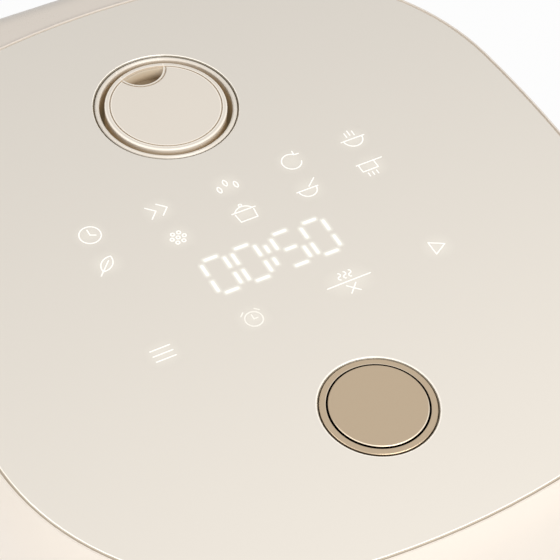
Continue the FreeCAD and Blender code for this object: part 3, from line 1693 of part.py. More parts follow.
def main():
    """Build every piece, check them and write one file each."""
    make_outer_shell()
    make_base_plate()
    make_rubber_feet()
    make_base_screws()
    make_body_collar()
    make_latch_keeper()
    make_inner_pot()
    make_inner_well()
    make_heating_plate()
    make_heating_element()
    make_plate_legs()
    make_sensor_bracket()
    make_sensor_cap()
    make_sensor_spring()
    make_power_board()
    make_mains_inlet()
    make_inlet_pins()
    make_hinge_housing()
    make_hinge_pin()
    make_lid_frame()
    make_hinge_springs()
    make_top_panel()
    make_vent_seat()
    make_vent_seal()
    make_steam_cap()
    make_valve_body()
    make_valve_gasket()
    make_button_bezel()
    make_release_button()
    make_button_plunger()
    make_button_spring()
    make_latch_lever()
    make_latch_pin()
    make_lid_cover()
    make_lid_screws()
    make_inner_lid()
    make_lid_seal()
    make_lid_stud()
    make_lid_grommet()
    make_lid_sensor()
    make_light_guide()
    make_display_board()
    doc.recompute()
    failed = [item.Name for item in doc.Objects if {"Invalid", "Error"} & set(item.State)]
    if failed:
        raise RuntimeError(f"not built: {failed}")
    for piece in pieces:
        if piece.Shape.isNull() or not piece.Shape.isValid():
            raise RuntimeError(f"{piece.Label} is not a valid solid")
    os.makedirs("parts", exist_ok=True)
    for piece in pieces:
        piece.Shape.exportStep(f"parts/{piece.Label}.step")
        print(f"{piece.Label}: {len(piece.Shape.Solids)} solid, {piece.Shape.Volume / 1000:.2f} cm3")


main()
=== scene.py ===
"""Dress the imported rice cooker: finishes, a lit display, detailed screws and springs, and a plain studio."""

import json
import logging
import math
from collections import Counter
from collections.abc import Callable, Iterator
from contextlib import contextmanager
from dataclasses import dataclass, field
from enum import Enum
from typing import Any, ClassVar, Union

import bpy
from mathutils import Matrix, Vector
from mathutils.geometry import intersect_sphere_sphere_2d


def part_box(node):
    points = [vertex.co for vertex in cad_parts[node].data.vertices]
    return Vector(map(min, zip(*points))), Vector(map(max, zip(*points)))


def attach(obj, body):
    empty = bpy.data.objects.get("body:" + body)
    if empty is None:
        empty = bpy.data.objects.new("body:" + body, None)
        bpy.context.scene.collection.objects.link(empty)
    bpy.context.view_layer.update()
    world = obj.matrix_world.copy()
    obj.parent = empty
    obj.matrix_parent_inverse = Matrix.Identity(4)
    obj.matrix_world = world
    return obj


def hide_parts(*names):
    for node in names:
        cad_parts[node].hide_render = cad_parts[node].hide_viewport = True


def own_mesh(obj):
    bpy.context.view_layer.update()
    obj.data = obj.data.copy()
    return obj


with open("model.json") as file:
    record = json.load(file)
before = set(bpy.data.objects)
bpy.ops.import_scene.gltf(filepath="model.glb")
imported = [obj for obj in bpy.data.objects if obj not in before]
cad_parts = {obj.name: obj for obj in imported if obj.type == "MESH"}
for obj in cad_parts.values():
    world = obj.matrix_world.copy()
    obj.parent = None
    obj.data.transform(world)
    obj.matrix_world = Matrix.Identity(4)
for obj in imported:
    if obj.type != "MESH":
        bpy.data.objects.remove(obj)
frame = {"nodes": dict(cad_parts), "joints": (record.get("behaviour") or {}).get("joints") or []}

log = logging.getLogger("rice_cooker")

Colour = tuple[float, float, float]
Spot = tuple[float, float]
Place = tuple[float, float, float]
Operand = Union["Wire", float]
Tone = Union["Wire", Colour]


def axis_of(node: str) -> Place:
    """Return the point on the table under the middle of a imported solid, in metres."""
    low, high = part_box(node)
    return (low[0] + high[0]) / 2, (low[1] + high[1]) / 2, 0.0


# In the finishes, points, radii and heights are in metres, as object coordinates are. The widths and depths
# of their layers and patterns are in millimetres, and so are all sizes of new pieces.
MM = 0.001
NOTCH_SHIFT = 0.0204
ORIGIN: Place = (0.0, 0.0, 0.0)
POT_AXIS = axis_of("inner_pot")
BUTTON_AXIS = axis_of("release_button")
VENT_AXIS = axis_of("steam_cap")
NOTCH_AXIS: Place = (VENT_AXIS[0], VENT_AXIS[1] + NOTCH_SHIFT, 0.0)
GLASS_TOP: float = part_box("top_panel")[1][2]
EVEN: Place = (1.0, 1.0, 1.0)
FLAT: Place = (1.0, 1.0, 0.0)
BLACK: Colour = (0.0, 0.0, 0.0)
WHITE: Colour = (1.0, 1.0, 1.0)
LIT_ATTRIBUTE = "lit"


def screen_colour(red: int, green: int, blue: int) -> Colour:
    """Turn a colour as a screen shows it into the linear values that shaders use.

    Args:
        red: Red level, 0 to 255.
        green: Green level, 0 to 255.
        blue: Blue level, 0 to 255.

    Returns:
        The same colour in linear light, by the usual curve of screens.
    """
    shares = (red / 255, green / 255, blue / 255)
    linear = [share / 12.92 if share <= 0.04045 else ((share + 0.055) / 1.055) ** 2.4 for share in shares]
    return linear[0], linear[1], linear[2]


def shaded(colour: Colour, factor: float) -> Colour:
    """Return a colour made lighter or darker by a factor."""
    return colour[0] * factor, colour[1] * factor, colour[2] * factor


def arithmetic(operation: str, swapped: bool = False) -> Callable[["Wire", Operand], "Wire"]:
    """Make an operator of wires that adds one Math node.

    Args:
        operation: What the node does with its two values.
        swapped: Whether the wire is the second of the two.

    Returns:
        The operator, as a method of Wire.
    """

    def method(wire: "Wire", other: Operand) -> "Wire":
        """Add the node on the wire and another value."""
        values = (other, wire) if swapped else (wire, other)
        return wire.shader.node("Math", {"operation": operation}, dict(enumerate(values)))

    return method


class Wire:
    """One value on its way through a shader, on which plain arithmetic adds Math nodes.

    A comparison gives 1 where it holds, else 0.
    """

    def __init__(self, shader: "Shader", socket: bpy.types.NodeSocket) -> None:
        """Hold the output socket that carries the value."""
        self.shader = shader
        self.socket = socket

    __add__ = arithmetic("ADD")
    __radd__ = arithmetic("ADD", swapped=True)
    __sub__ = arithmetic("SUBTRACT")
    __rsub__ = arithmetic("SUBTRACT", swapped=True)
    __mul__ = arithmetic("MULTIPLY")
    __truediv__ = arithmetic("DIVIDE")
    __pow__ = arithmetic("POWER")
    __gt__ = arithmetic("GREATER_THAN")
    __lt__ = arithmetic("LESS_THAN")

    def wave(self) -> "Wire":
        """Return a wave from 0 to 1 that repeats with every whole step of the value."""
        return self.shader.node("Math", {"operation": "SINE"}, {0: self * math.tau}) * 0.5 + 0.5

    def sway(self, reach: float) -> "Wire":
        """Turn a value from 0 to 1 into one that sways about 0, that far from end to end."""
        return (self - 0.5) * reach

    def between(self, low: float, high: float) -> "Wire":
        """Return a smooth rise from 0 at low to 1 at high."""
        settings = {"interpolation_type": "SMOOTHSTEP"}
        return self.shader.node("MapRange", settings, {"Value": self, "From Min": low, "From Max": high})

    def within(self, low: float, high: float) -> "Wire":
        """Return 1 between two limits, else 0."""
        return (self > low) * (self < high)


class Detail(Enum):
    """How many finer layers lie on a noise."""

    SOFT = 2.0
    FINE = 3.0
    RICH = 4.0


class Shader:
    """A node tree, the one method that adds nodes to it, and the few mixes that finishes share."""

    def __init__(self, tree: bpy.types.NodeTree, output_kind: str = "OutputMaterial") -> None:
        """Empty the tree and give it a new output.

        Args:
            tree: Node tree of a material or a world.
            output_kind: Kind of the tree's output node.
        """
        self.tree = tree
        self.tree.nodes.clear()
        self.output = self.tree.nodes.new(f"ShaderNode{output_kind}")

    def node(
        self,
        kind: str,
        settings: dict[str, Any] | None = None,
        inputs: dict[int | str, Any] | None = None,
        output: int | str = 0,
    ) -> Wire:
        """Add a node, set it up and feed it.

        Args:
            kind: Node type without its common prefix.
            settings: Properties that are set before the sockets.
            inputs: Values or wires by socket name or number.
            output: Name or number of the output that is used.

        Returns:
            The wire from that output.
        """
        node = self.tree.nodes.new(f"ShaderNode{kind}")
        for name, value in (settings or {}).items():
            setattr(node, name, value)
        for key, value in (inputs or {}).items():
            self.feed(node.inputs[key], value)
        return Wire(self, node.outputs[output])

    def feed(self, socket: bpy.types.NodeSocket, value: Any) -> None:
        """Link a wire to a socket or set the socket's own value.

        Args:
            socket: The input socket.
            value: A wire, a number, a colour or a vector.
        """
        if isinstance(value, Wire):
            self.tree.links.new(value.socket, socket)
        elif socket.type == "RGBA":
            socket.default_value = (*value, 1.0)
        else:
            socket.default_value = value

    def vector(self, operation: str, *values: Any, output: int | str = 0) -> Wire:
        """Add one Vector Math node on its values."""
        return self.node("VectorMath", {"operation": operation}, dict(enumerate(values)), output)

    def place(self, centre: Place = ORIGIN, stretch: Place = EVEN) -> Wire:
        """Return object coordinates, moved so that centre is their origin and then stretched."""
        moved = self.vector("SUBTRACT", self.node("TexCoord", output="Object"), centre)
        return self.vector("MULTIPLY", moved, stretch)

    def coordinate(self, place: Wire, axis: str) -> Wire:
        """Return one coordinate of a place."""
        return self.node("SeparateXYZ", inputs={0: place}, output=axis)

    def height(self) -> Wire:
        """Return the height above the table."""
        return self.coordinate(self.node("TexCoord", output="Object"), "Z")

    def radius(self, centre: Place) -> Wire:
        """Return the distance from an upright axis through centre."""
        return self.vector("LENGTH", self.place(centre, FLAT), output="Value")

    def ring(self, centre: Place, inner: float, outer: float) -> Wire:
        """Return 1 between two distances from an upright axis through centre, else 0."""
        return self.radius(centre).within(inner, outer)

    def blend(self, factor: Operand, low: Any, high: Any) -> Wire:
        """Mix two colours by a factor, through the Mix node's sockets for colours."""
        share, first, second, mixed = 0, 6, 7, 2
        return self.node("Mix", {"data_type": "RGBA"}, {share: factor, first: low, second: high}, mixed)

    def lit(self, mask: Wire, colour: Colour, ground: Any = BLACK) -> dict[str, Any]:
        """Return the sockets for light of one colour where a mask is 1, and of the ground elsewhere."""
        return {"emission_color": self.blend(mask, ground, colour), "emission_strength": 1.0}

    def relief(self, height: Wire, depth: float) -> Wire:
        """Return a normal that shows a height from 0 to 1 as that many millimetres."""
        return self.node("Bump", inputs={"Height": height, "Distance": depth * MM, "Strength": 1.0})

    def surface(self, **sockets: Any) -> None:
        """Make the principled surface and send it to the output.

        Args:
            sockets: Values by socket name in lower case with underscores.
        """
        inputs = {}
        for name, value in sockets.items():
            inputs[name.replace("_", " ").title().replace("Ior", "IOR")] = value
        self.finish(self.node("BsdfPrincipled", inputs=inputs))

    def finish(self, shader: Wire) -> None:
        """Send a shader to the tree's output."""
        self.tree.links.new(shader.socket, self.output.inputs["Surface"])


@dataclass(frozen=True)
class Layer:
    """A layer of noise on a finish.

    Attributes:
        size: Width of its clouds.
        detail: How many finer layers lie on it.
        gloss: How far it sways the roughness.
        depth: Depth of its relief.
        stretch: How its clouds run on each axis.
    """

    size: float
    detail: Detail = Detail.SOFT
    gloss: float = 0.0
    depth: float = 0.0
    stretch: Place = EVEN

    def noise(self, shader: Shader) -> Wire:
        """Return its noise, from 0 to 1."""
        inputs = {"Scale": 1 / (self.size * MM), "Detail": self.detail.value}
        return shader.node("TexNoise", inputs={"Vector": shader.place(stretch=self.stretch), **inputs})


@dataclass(frozen=True)
class Finish:
    """A finish whose colour, gloss and relief follow layers of noise.

    Attributes:
        name: Name of the material.
        colour: Main colour in linear light.
        roughness: How far the surface scatters what it mirrors.
        shades: Factors on the colour between which its tone drifts.
        layers: Its layers, of which the first one is the ground that the tone follows.
        metallic: 1 on bare metal, else 0.
    """

    name: str
    colour: Colour
    roughness: float
    shades: Spot = (1.0, 1.0)
    layers: tuple[Layer, ...] = ()
    metallic: float = 0.0

    made: ClassVar[dict[str, bpy.types.Material]] = {}

    def material(self) -> bpy.types.Material:
        """Return the finish as a material, made on first use.

        Returns:
            The material.
        """
        if self.name not in self.made:
            material = bpy.data.materials.new(self.name)
            material.use_nodes = True
            material.diffuse_color = (*self.colour, 1.0)
            self.paint(Shader(material.node_tree))
            self.made[self.name] = material
        return self.made[self.name]

    def tone(self, shader: Shader, ground: Operand) -> Tone:
        """Return the colour, drifting between its two shades."""
        low, high = self.shades
        return shader.blend(ground, shaded(self.colour, low), shaded(self.colour, high))

    def rougher(self, shader: Shader, ground: Operand) -> Operand:
        """Return what a pattern adds to the roughness: nothing, unless a finish has one."""
        return 0.0

    def extras(self, shader: Shader) -> dict[str, Any]:
        """Return further sockets, such as those for light: none, unless a finish has some."""
        return {}

    def paint(self, shader: Shader) -> None:
        """Build the tone, the uneven gloss and the relief.

        Args:
            shader: The material's shader.
        """
        noises = [layer.noise(shader) for layer in self.layers]
        ground = noises[0] if noises else 0.0
        sockets = {"base_color": self.tone(shader, ground), "metallic": self.metallic}
        roughness = self.rougher(shader, ground) + self.roughness
        for layer, noise in zip(self.layers, noises):
            if layer.gloss:
                roughness = noise.sway(layer.gloss) + roughness
            if layer.depth:
                sockets["normal"] = shader.relief(noise, layer.depth)
        shader.surface(roughness=roughness, **sockets, **self.extras(shader))


def moulded(size: float, depth: float) -> tuple[Layer, ...]:
    """Return the layers of moulded plastic: wide clouds, and a grain of that width and depth."""
    return Layer(45.0, gloss=0.08), Layer(size, Detail.FINE, gloss=0.06, depth=depth)


def rolled(*stretch: float) -> tuple[Layer, ...]:
    """Return the layers of rolled metal: stains, and marks that run on each axis as the stretch says."""
    return Layer(22.0, Detail.FINE), Layer(0.4, Detail.FINE, gloss=0.2, depth=0.004, stretch=stretch)


@dataclass(frozen=True)
class MouldedPlastic(Finish):
    """Moulded plastic: a faint cloud in its tone and a fine grain from the mould."""

    shades: Spot = (0.988, 1.012)
    layers: tuple[Layer, ...] = moulded(0.3, 0.003)


@dataclass(frozen=True)
class DepthShadedPlastic(MouldedPlastic):
    """Moulded plastic with painted shade deep in the vent, painted light there and painted highlights on its
    lips.

    Attributes:
        depth_shade: Colour of the painted shade in the depth.
        shade: Colour of the painted shade at the bottom of the cap's notch.
        glow: Colour of the painted light in the depth.
        thin_glow: Colour of the painted light on the thin wall behind the notch, near its top.
        shine: Colour of the painted highlights on the cap's lips.
        top: Height below which the painted shade starts.
        reach: Distance below that height at which it is complete.
        rise: Power by which it grows with depth.
        cut_shade: Share of the painted shade in the engraved line.
        engraved: Radius inside which the cap's line and notch are cut.
        face: Height of the cap's face, less a hair.
        notch: Lowest and highest point of the notch's wall.
        fade: From where to where the shade fades, over the notch's lowest point.
        shading: Share of the shade at the bottom.
        thin: Inner and outer radius of the thin wall's inside.
        lips: Axis, inner and outer radius of each lip of the cap that gets a painted highlight.
    """

    depth_shade: Colour = (0.6, 0.4, 0.25)
    shade: Colour = (0.15, 0.112, 0.085)
    glow: Colour = (0.05, 0.037, 0.02)
    thin_glow: Colour = (0.19, 0.19, 0.17)
    shine: Colour = (0.16, 0.152, 0.138)
    top: float = GLASS_TOP - 0.0002
    reach: float = 0.0033
    rise: float = 0.6
    cut_shade: float = 0.6
    engraved: float = 0.0199
    face: float = GLASS_TOP + 0.0002
    notch: Spot = (GLASS_TOP - 0.0055, GLASS_TOP - 0.0004)
    fade: Spot = (-0.001, 0.003)
    shading: float = 0.6
    thin: Spot = (0.0191, 0.01926)
    lips: tuple[tuple[Place, float, float], ...] = (
        (VENT_AXIS, 0.01885, 0.01918),
        (VENT_AXIS, 0.01972, 0.02005),
        (VENT_AXIS, 0.02078, 0.0214),
        (NOTCH_AXIS, 0.00815, 0.00865),
    )

    def _depth(self, shader: Shader) -> Wire:
        """Return how deep a point lies, from 0 at the top to 1."""
        return 1 - shader.height().between(self.top - self.reach, self.top)

    def _hollow(self, shader: Shader) -> Wire:
        """Return how much painted shade lies on a point, which is most at the bottom of the notch.

        Args:
            shader: The material's shader.

        Returns:
            The share, from 0 to 1.
        """
        height = shader.height()
        inside = (shader.radius(VENT_AXIS) < self.thin[1]) * height.within(*self.notch)
        fading = height.between(*(self.notch[0] + step for step in self.fade))
        return (1 - fading) * inside * self.shading

    def _lip(self, shader: Shader) -> Wire:
        """Return 1 on the lips that get painted highlights, else 0."""
        return sum(shader.ring(*lip) for lip in self.lips) * (shader.height() > self.top)

    def tone(self, shader: Shader, ground: Operand) -> Tone:
        """Return the cloudy colour, turning to painted shade with depth and in the engraved line.

        Args:
            shader: The material's shader.
            ground: Noise that the colour's cloud follows.

        Returns:
            The colour.
        """
        # Painted shade: the colour turns brown with depth in the vent and in the engraved line, and darkens at
        # the bottom of the notch.
        cut = (shader.height() < self.face) * (shader.radius(VENT_AXIS) < self.engraved)
        share = self._depth(shader) ** self.rise + cut * self.cut_shade
        depth_shaded = shader.blend(share, super().tone(shader, ground), self.depth_shade)
        return shader.blend(self._hollow(shader), depth_shaded, self.shade)

    def extras(self, shader: Shader) -> dict[str, Any]:
        """Return the sockets for the painted light in the depth and behind the notch, and for the painted
        highlights on the lips.

        Args:
            shader: The material's shader.

        Returns:
            Values by socket.
        """
        # Painted light: an emission in the depth and on the wall behind the notch, and painted highlights on
        # the lips.
        low, high = self.notch
        height = shader.height()
        deep = shader.blend(self._depth(shader) - self._hollow(shader), BLACK, self.glow)
        thin = shader.ring(VENT_AXIS, *self.thin) * height.between(low, high) * (height < high)
        return shader.lit(self._lip(shader), self.shine, shader.blend(thin, deep, self.thin_glow))


@dataclass(frozen=True)
class RecessedPlastic(MouldedPlastic):
    """Moulded plastic with a recess for the glass, with painted light on its wall that lightens the narrow
    gap.

    In each quarter about the pot's axis, a corner arc joins a side arc and an end arc and touches both.

    Attributes:
        painted_wall_light: Colour of the painted light on the wall.
        half: Half the width and half the depth of the recess.
        bows: Radius of the side arcs and of the end arcs.
        corner: Radius of the corner arcs.
        reach: Distance from an arc that still counts as the wall.
        heights: Lowest and highest point of the wall that gets painted light.
    """

    painted_wall_light: Colour = (0.12, 0.117, 0.11)
    half: Spot = (0.1171, 0.1256)
    bows: Spot = (0.4546, 0.2706)
    corner: float = 0.0866
    reach: float = 0.00012
    heights: Spot = (GLASS_TOP - 0.0025, GLASS_TOP - 0.0001)

    def _near(self, shader: Shader, quarter: Wire, centre: Vector, radius: float) -> Wire:
        """Return 1 near an arc, else 0, from flat coordinates folded into the rear right quarter."""
        apart = shader.vector("DISTANCE", quarter, centre.to_3d(), output="Value")
        return apart.within(radius - self.reach, radius + self.reach)

    def _wall(self, shader: Shader) -> Wire:
        """Return 1 near the outline of the recess, else 0.

        Args:
            shader: The material's shader.

        Returns:
            The mask.
        """
        quarter = shader.vector("ABSOLUTE", shader.place(POT_AXIS, FLAT))
        side_bow, end_bow = self.bows
        side = Vector((self.half[0] - side_bow, 0.0))
        end = Vector((0.0, self.half[1] - end_bow))
        crossings = intersect_sphere_sphere_2d(side, side_bow - self.corner, end, end_bow - self.corner)
        corner = max(crossings, key=sum)
        side_meets = side + (corner - side).normalized() * side_bow
        end_meets = end + (corner - end).normalized() * end_bow
        along = shader.coordinate(quarter, "Y") < side_meets.y
        across = shader.coordinate(quarter, "X") < end_meets.x
        on_side = self._near(shader, quarter, side, side_bow) * along
        on_end = self._near(shader, quarter, end, end_bow) * across
        return self._near(shader, quarter, corner, self.corner) + on_side + on_end

    def extras(self, shader: Shader) -> dict[str, Any]:
        """Return the sockets for the painted light on the recess's wall."""
        # Painted light on the recess's wall, which lightens the narrow gap round the glass.
        return shader.lit(self._wall(shader) * shader.height().within(*self.heights), self.painted_wall_light)


@dataclass(frozen=True)
class BackPaintedGlass(Finish):
    """Glass painted on its underside and faintly wiped on top, with painted highlights and painted light on
    its edges.

    Attributes:
        bevel_highlight: Colour of the painted highlight on the bevels.
        bevel_glow: Colour of the painted light on the bevels.
        side_colour: Colour of the ground sides, which reach up into the bevels.
        side_glow: Colour of the painted light on the ground sides of the outline.
        bevel: Height of the bevels.
        highlight_band: Shares of that height, from the top, between which a bevel gets its painted highlight.
        rim: Width of the painted highlight round the button's hole, as a share of the bevel.
        rim_share: How far that rim takes the bevel's painted highlight and light.
        holes: Axis and radius of the button's and the vent's hole.
    """

    shades: Spot = (0.992, 1.008)
    layers: tuple[Layer, ...] = (
        Layer(90.0),
        Layer(14.0, Detail.RICH, gloss=0.05, stretch=(0.4, 1.6, 1.0)),
    )
    bevel_highlight: Colour = WHITE
    bevel_glow: Colour = (0.14, 0.135, 0.125)
    side_colour: Colour = (0.3, 0.26, 0.2)
    side_glow: Colour = (0.24, 0.21, 0.175)
    bevel: float = 0.0005
    highlight_band: Spot = (0.02, 0.4)
    rim: float = 0.5
    rim_share: float = 0.5
    holes: tuple[tuple[Place, float], ...] = ((BUTTON_AXIS, 0.0195), (VENT_AXIS, 0.0258))

    def _masks(self, shader: Shader) -> tuple[Wire, Wire]:
        """Return where the ground sides are and where the bevels get painted highlights.

        Args:
            shader: The material's shader.

        Returns:
            The sides' mask and the bevels' mask.
        """
        height = shader.height()
        upper, lower = (GLASS_TOP - self.bevel * share for share in self.highlight_band)
        side = height < lower
        axis, radius = self.holes[0]
        rim = shader.ring(axis, radius, radius + self.bevel * self.rim)
        return side, (1 - side) * ((height < upper) + rim * self.rim_share)

    def tone(self, shader: Shader, ground: Operand) -> Tone:
        """Return the tone of the paint, of the painted highlights on the bevels and of the sides.

        Args:
            shader: The material's shader.
            ground: Noise that the paint follows.

        Returns:
            The colour.
        """
        # Painted highlight: the bevels and a rim round the button's hole turn nearly white.
        side, bevel = self._masks(shader)
        top = shader.blend(bevel, super().tone(shader, ground), self.bevel_highlight)
        return shader.blend(side, top, self.side_colour)

    def extras(self, shader: Shader) -> dict[str, Any]:
        """Return the sockets for the glass's index and for the painted light on its bevels and sides.

        Args:
            shader: The material's shader.

        Returns:
            Values by socket.
        """
        # Painted light: an emission on the bevels and on the sides of the outline, away from the holes.
        outline, bevel = self._masks(shader)
        for axis, radius in self.holes:
            outline *= shader.radius(axis) > radius
        painted_glow = shader.blend(bevel, BLACK, self.bevel_glow)
        return {"ior": 1.5, **shader.lit(outline, self.side_glow, painted_glow)}


@dataclass(frozen=True)
class BlastedMetal(Finish):
    """Blasted and anodised metal, with painted shade in the gap round the button and painted highlights on the
    edges beside it.

    Attributes:
        gap: Inner and outer radius of the gap's walls.
        lip: Height below which the walls get painted shade.
        shade: Colour of the painted shade on the walls.
        shine: Colour of the painted highlights on the edges.
        front_edge: Inner and outer radius of the button's edge, which gets a painted highlight at the front.
        front_fade: From where to where its shine fades, behind the button's axis.
        rear_edge: Inner and outer radius of the ring's edge, which gets a painted highlight at the rear.
        rear_rise: From where to where its shine grows, behind the button's axis.
        rear_share: Strength of that shine beside the front one's.
        level: Height over which both edges lie.
    """

    shades: Spot = (0.93, 1.07)
    layers: tuple[Layer, ...] = (
        Layer(0.16, Detail.FINE, gloss=0.16, depth=0.008),
        Layer(20.0, gloss=0.05),
    )
    metallic: float = 1.0
    gap: Spot = (0.01583, 0.01656)
    lip: float = GLASS_TOP + 0.00019
    shade: Colour = (0.012, 0.009, 0.006)
    shine: Colour = (0.45, 0.43, 0.38)
    front_edge: Spot = (0.01552, 0.01583)
    front_fade: Spot = (-0.014, 0.004)
    rear_edge: Spot = (0.01656, 0.01674)
    rear_rise: Spot = (-0.002, 0.012)
    rear_share: float = 0.6
    level: float = GLASS_TOP - 0.00025

    def tone(self, shader: Shader, ground: Operand) -> Tone:
        """Return the grainy tone, with painted shade on the gap's walls."""
        # Painted shade: the gap's walls below the lip turn nearly black.
        wall = shader.ring(BUTTON_AXIS, *self.gap) * (shader.height() < self.lip)
        return shader.blend(wall, super().tone(shader, ground), self.shade)

    def extras(self, shader: Shader) -> dict[str, Any]:
        """Return the sockets for the painted highlights on the edges.

        Args:
            shader: The material's shader.

        Returns:
            Values by socket.
        """
        # Painted highlights: an emission on the button's edge at the front and on the ring's inner edge at the
        # rear.
        along = shader.coordinate(shader.place(BUTTON_AXIS), "Y")
        front = shader.ring(BUTTON_AXIS, *self.front_edge) * (1 - along.between(*self.front_fade))
        rear = shader.ring(BUTTON_AXIS, *self.rear_edge) * along.between(*self.rear_rise) * self.rear_share
        return shader.lit((front + rear) * (shader.height() > self.level), self.shine)


@dataclass(frozen=True)
class TurnedMetal(Finish):
    """Stained metal with the fine wavering rings that a lathe leaves about the pot's axis.

    Attributes:
        pitch: Distance between rings.
        depth: Depth of the rings.
        waver: Layer that bends the rings.
        bend: How far it bends them, as a share of the pitch.
        dullness: How far the rings raise the roughness.
    """

    shades: Spot = (0.9, 1.06)
    layers: tuple[Layer, ...] = (Layer(16.0, Detail.RICH, gloss=0.14),)
    metallic: float = 1.0
    pitch: float = 0.5
    depth: float = 0.004
    waver: Layer = Layer(3.0)
    bend: float = 0.6
    dullness: float = 0.05

    def _rings(self, shader: Shader) -> Wire:
        """Return the height of the rings, from 0 to 1."""
        waver = self.waver.noise(shader) * self.bend
        return (shader.radius(POT_AXIS) / (self.pitch * MM) + waver).wave()

    def rougher(self, shader: Shader, ground: Operand) -> Operand:
        """Return what the rings add to the roughness."""
        return self._rings(shader) * self.dullness

    def extras(self, shader: Shader) -> dict[str, Any]:
        """Return the socket for the rings' relief."""
        return {"normal": shader.relief(self._rings(shader), self.depth)}


@dataclass(frozen=True)
class RolledSteel(Finish):
    """Sheet or wire metal with stains and long rolling marks."""

    shades: Spot = (0.88, 1.05)
    layers: tuple[Layer, ...] = rolled(0.04, 1.0, 1.0)
    metallic: float = 1.0


@dataclass(frozen=True)
class StoneCoating(Finish):
    """Dark mottled non-stick coating with a sprinkle of pale specks.

    Attributes:
        speck: Colour of the specks.
        speck_size: Distance between specks.
        speck_edge: From where to where a speck ends, as shares of that distance.
        unevenness: How far the ground changes a speck's size.
        dullness: How far the specks raise the roughness.
    """

    shades: Spot = (0.8, 1.25)
    layers: tuple[Layer, ...] = (Layer(6.0, Detail.RICH, gloss=0.12), Layer(0.5, depth=0.006))
    speck: Colour = (0.3, 0.28, 0.25)
    speck_size: float = 1.7
    speck_edge: Spot = (0.2, 0.3)
    unevenness: float = 0.25
    dullness: float = 0.1

    def _specks(self, shader: Shader, ground: Operand) -> Wire:
        """Return 1 on the round specks, else 0.

        Args:
            shader: The material's shader.
            ground: Noise that makes their sizes uneven.

        Returns:
            The mask.
        """
        inputs = {"Vector": shader.place(), "Scale": 1 / (self.speck_size * MM)}
        cell = shader.node("TexVoronoi", {"feature": "F1"}, inputs)
        return 1 - (cell + ground * self.unevenness).between(*self.speck_edge)

    def tone(self, shader: Shader, ground: Operand) -> Tone:
        """Return the mottled colour with its specks."""
        return shader.blend(self._specks(shader, ground), super().tone(shader, ground), self.speck)

    def rougher(self, shader: Shader, ground: Operand) -> Operand:
        """Return what the specks add to the roughness."""
        return self._specks(shader, ground) * self.dullness


@dataclass(frozen=True)
class SoftRubber(Finish):
    """Matt rubber or silicone with a dusty bloom on a pebbled skin.

    Attributes:
        bloom: Colour of the dusty bloom.
        cover: Most of the skin that the bloom covers.
        scatter: Share of light that goes through the skin.
        scatter_reach: Reach of red, green and blue light in it, before the shader's own scale.
    """

    layers: tuple[Layer, ...] = (Layer(7.0, Detail.RICH), Layer(0.35, gloss=0.15, depth=0.01))
    bloom: Colour = (0.3, 0.3, 0.3)
    cover: float = 0.35
    scatter: float = 0.0
    scatter_reach: Place = (0.002, 0.0015, 0.001)

    def tone(self, shader: Shader, ground: Operand) -> Tone:
        """Return the colour under its patches of bloom."""
        return shader.blend(ground * self.cover, self.colour, self.bloom)

    def extras(self, shader: Shader) -> dict[str, Any]:
        """Return the sockets for light in the skin."""
        return {"subsurface_weight": self.scatter, "subsurface_radius": self.scatter_reach}


@dataclass(frozen=True)
class CircuitBoard(Finish):
    """Green board with tracks under its lacquer, and dark parts above or below it.

    Attributes:
        low: Height of the board's underside.
        high: Height of the board's top.
        hair: Distance from the board at which a part starts.
        track: Colour of the tracks.
        depth: Height of the tracks.
        parts: Colour of the parts, which the shades are factors on.
        dullness: How far the parts are rougher than the board.
    """

    shades: Spot = (0.7, 1.5)
    layers: tuple[Layer, ...] = (Layer(3.0, Detail.FINE, gloss=0.1),)
    low: float = 0.0
    high: float = 1.0
    hair: float = 0.0001
    track: Colour = (0.03, 0.22, 0.08)
    depth: float = 0.02
    parts: Colour = (0.02, 0.02, 0.022)
    dullness: float = 0.25

    def _tracks(self, shader: Shader) -> Wire:
        """Return the tracks as the joints of a fine brick pattern.

        Args:
            shader: The material's shader.

        Returns:
            A value that is 1 on the tracks, else 0.
        """
        rows = {"offset": 0.37, "squash": 1.6, "squash_frequency": 3}
        pattern = {"Vector": shader.place(), "Scale": 210.0, "Mortar Size": 0.05, "Mortar Smooth": 0.2}
        return shader.node("TexBrick", rows, pattern, output="Fac")

    def _part(self, shader: Shader) -> Wire:
        """Return 1 on the parts, else 0."""
        height = shader.height()
        return (height > self.high + self.hair) + (height < self.low - self.hair)

    def tone(self, shader: Shader, ground: Operand) -> Tone:
        """Return the tone of the lacquer, the tracks and the parts.

        Args:
            shader: The material's shader.
            ground: Noise that the parts follow.

        Returns:
            The colour.
        """
        board = shader.blend(self._tracks(shader), self.colour, self.track)
        parts = shader.blend(ground, *(shaded(self.parts, shade) for shade in self.shades))
        return shader.blend(self._part(shader), board, parts)

    def rougher(self, shader: Shader, ground: Operand) -> Operand:
        """Return what the parts add to the roughness."""
        return self._part(shader) * self.dullness

    def extras(self, shader: Shader) -> dict[str, Any]:
        """Return the socket for the tracks' relief."""
        return {"normal": shader.relief(self._tracks(shader), self.depth)}


@dataclass(frozen=True)
class BackLight(Finish):
    """Light from under the glass, on a body that hardly shows.

    Attributes:
        body: Share of the colour that it keeps without its light.
    """

    body: float = 0.1

    def tone(self, shader: Shader, ground: Operand) -> Tone:
        """Return the colour without its light."""
        return shaded(self.colour, self.body)


@dataclass(frozen=True)
class LitInlay(BackLight):
    """Light that shows through the glass, a touch warmer here and there.

    Attributes:
        warm: Colour of the warmer places.
        warmth: How far the light turns to it.
        drift: Layer that it follows.
    """

    warm: Colour = (1.0, 0.97, 0.9)
    warmth: float = 0.5
    drift: Layer = Layer(4.0)

    def extras(self, shader: Shader) -> dict[str, Any]:
        """Return the sockets for an even light with a slow drift in its warmth."""
        return shader.lit(self.drift.noise(shader) * self.warmth, self.warm, self.colour)


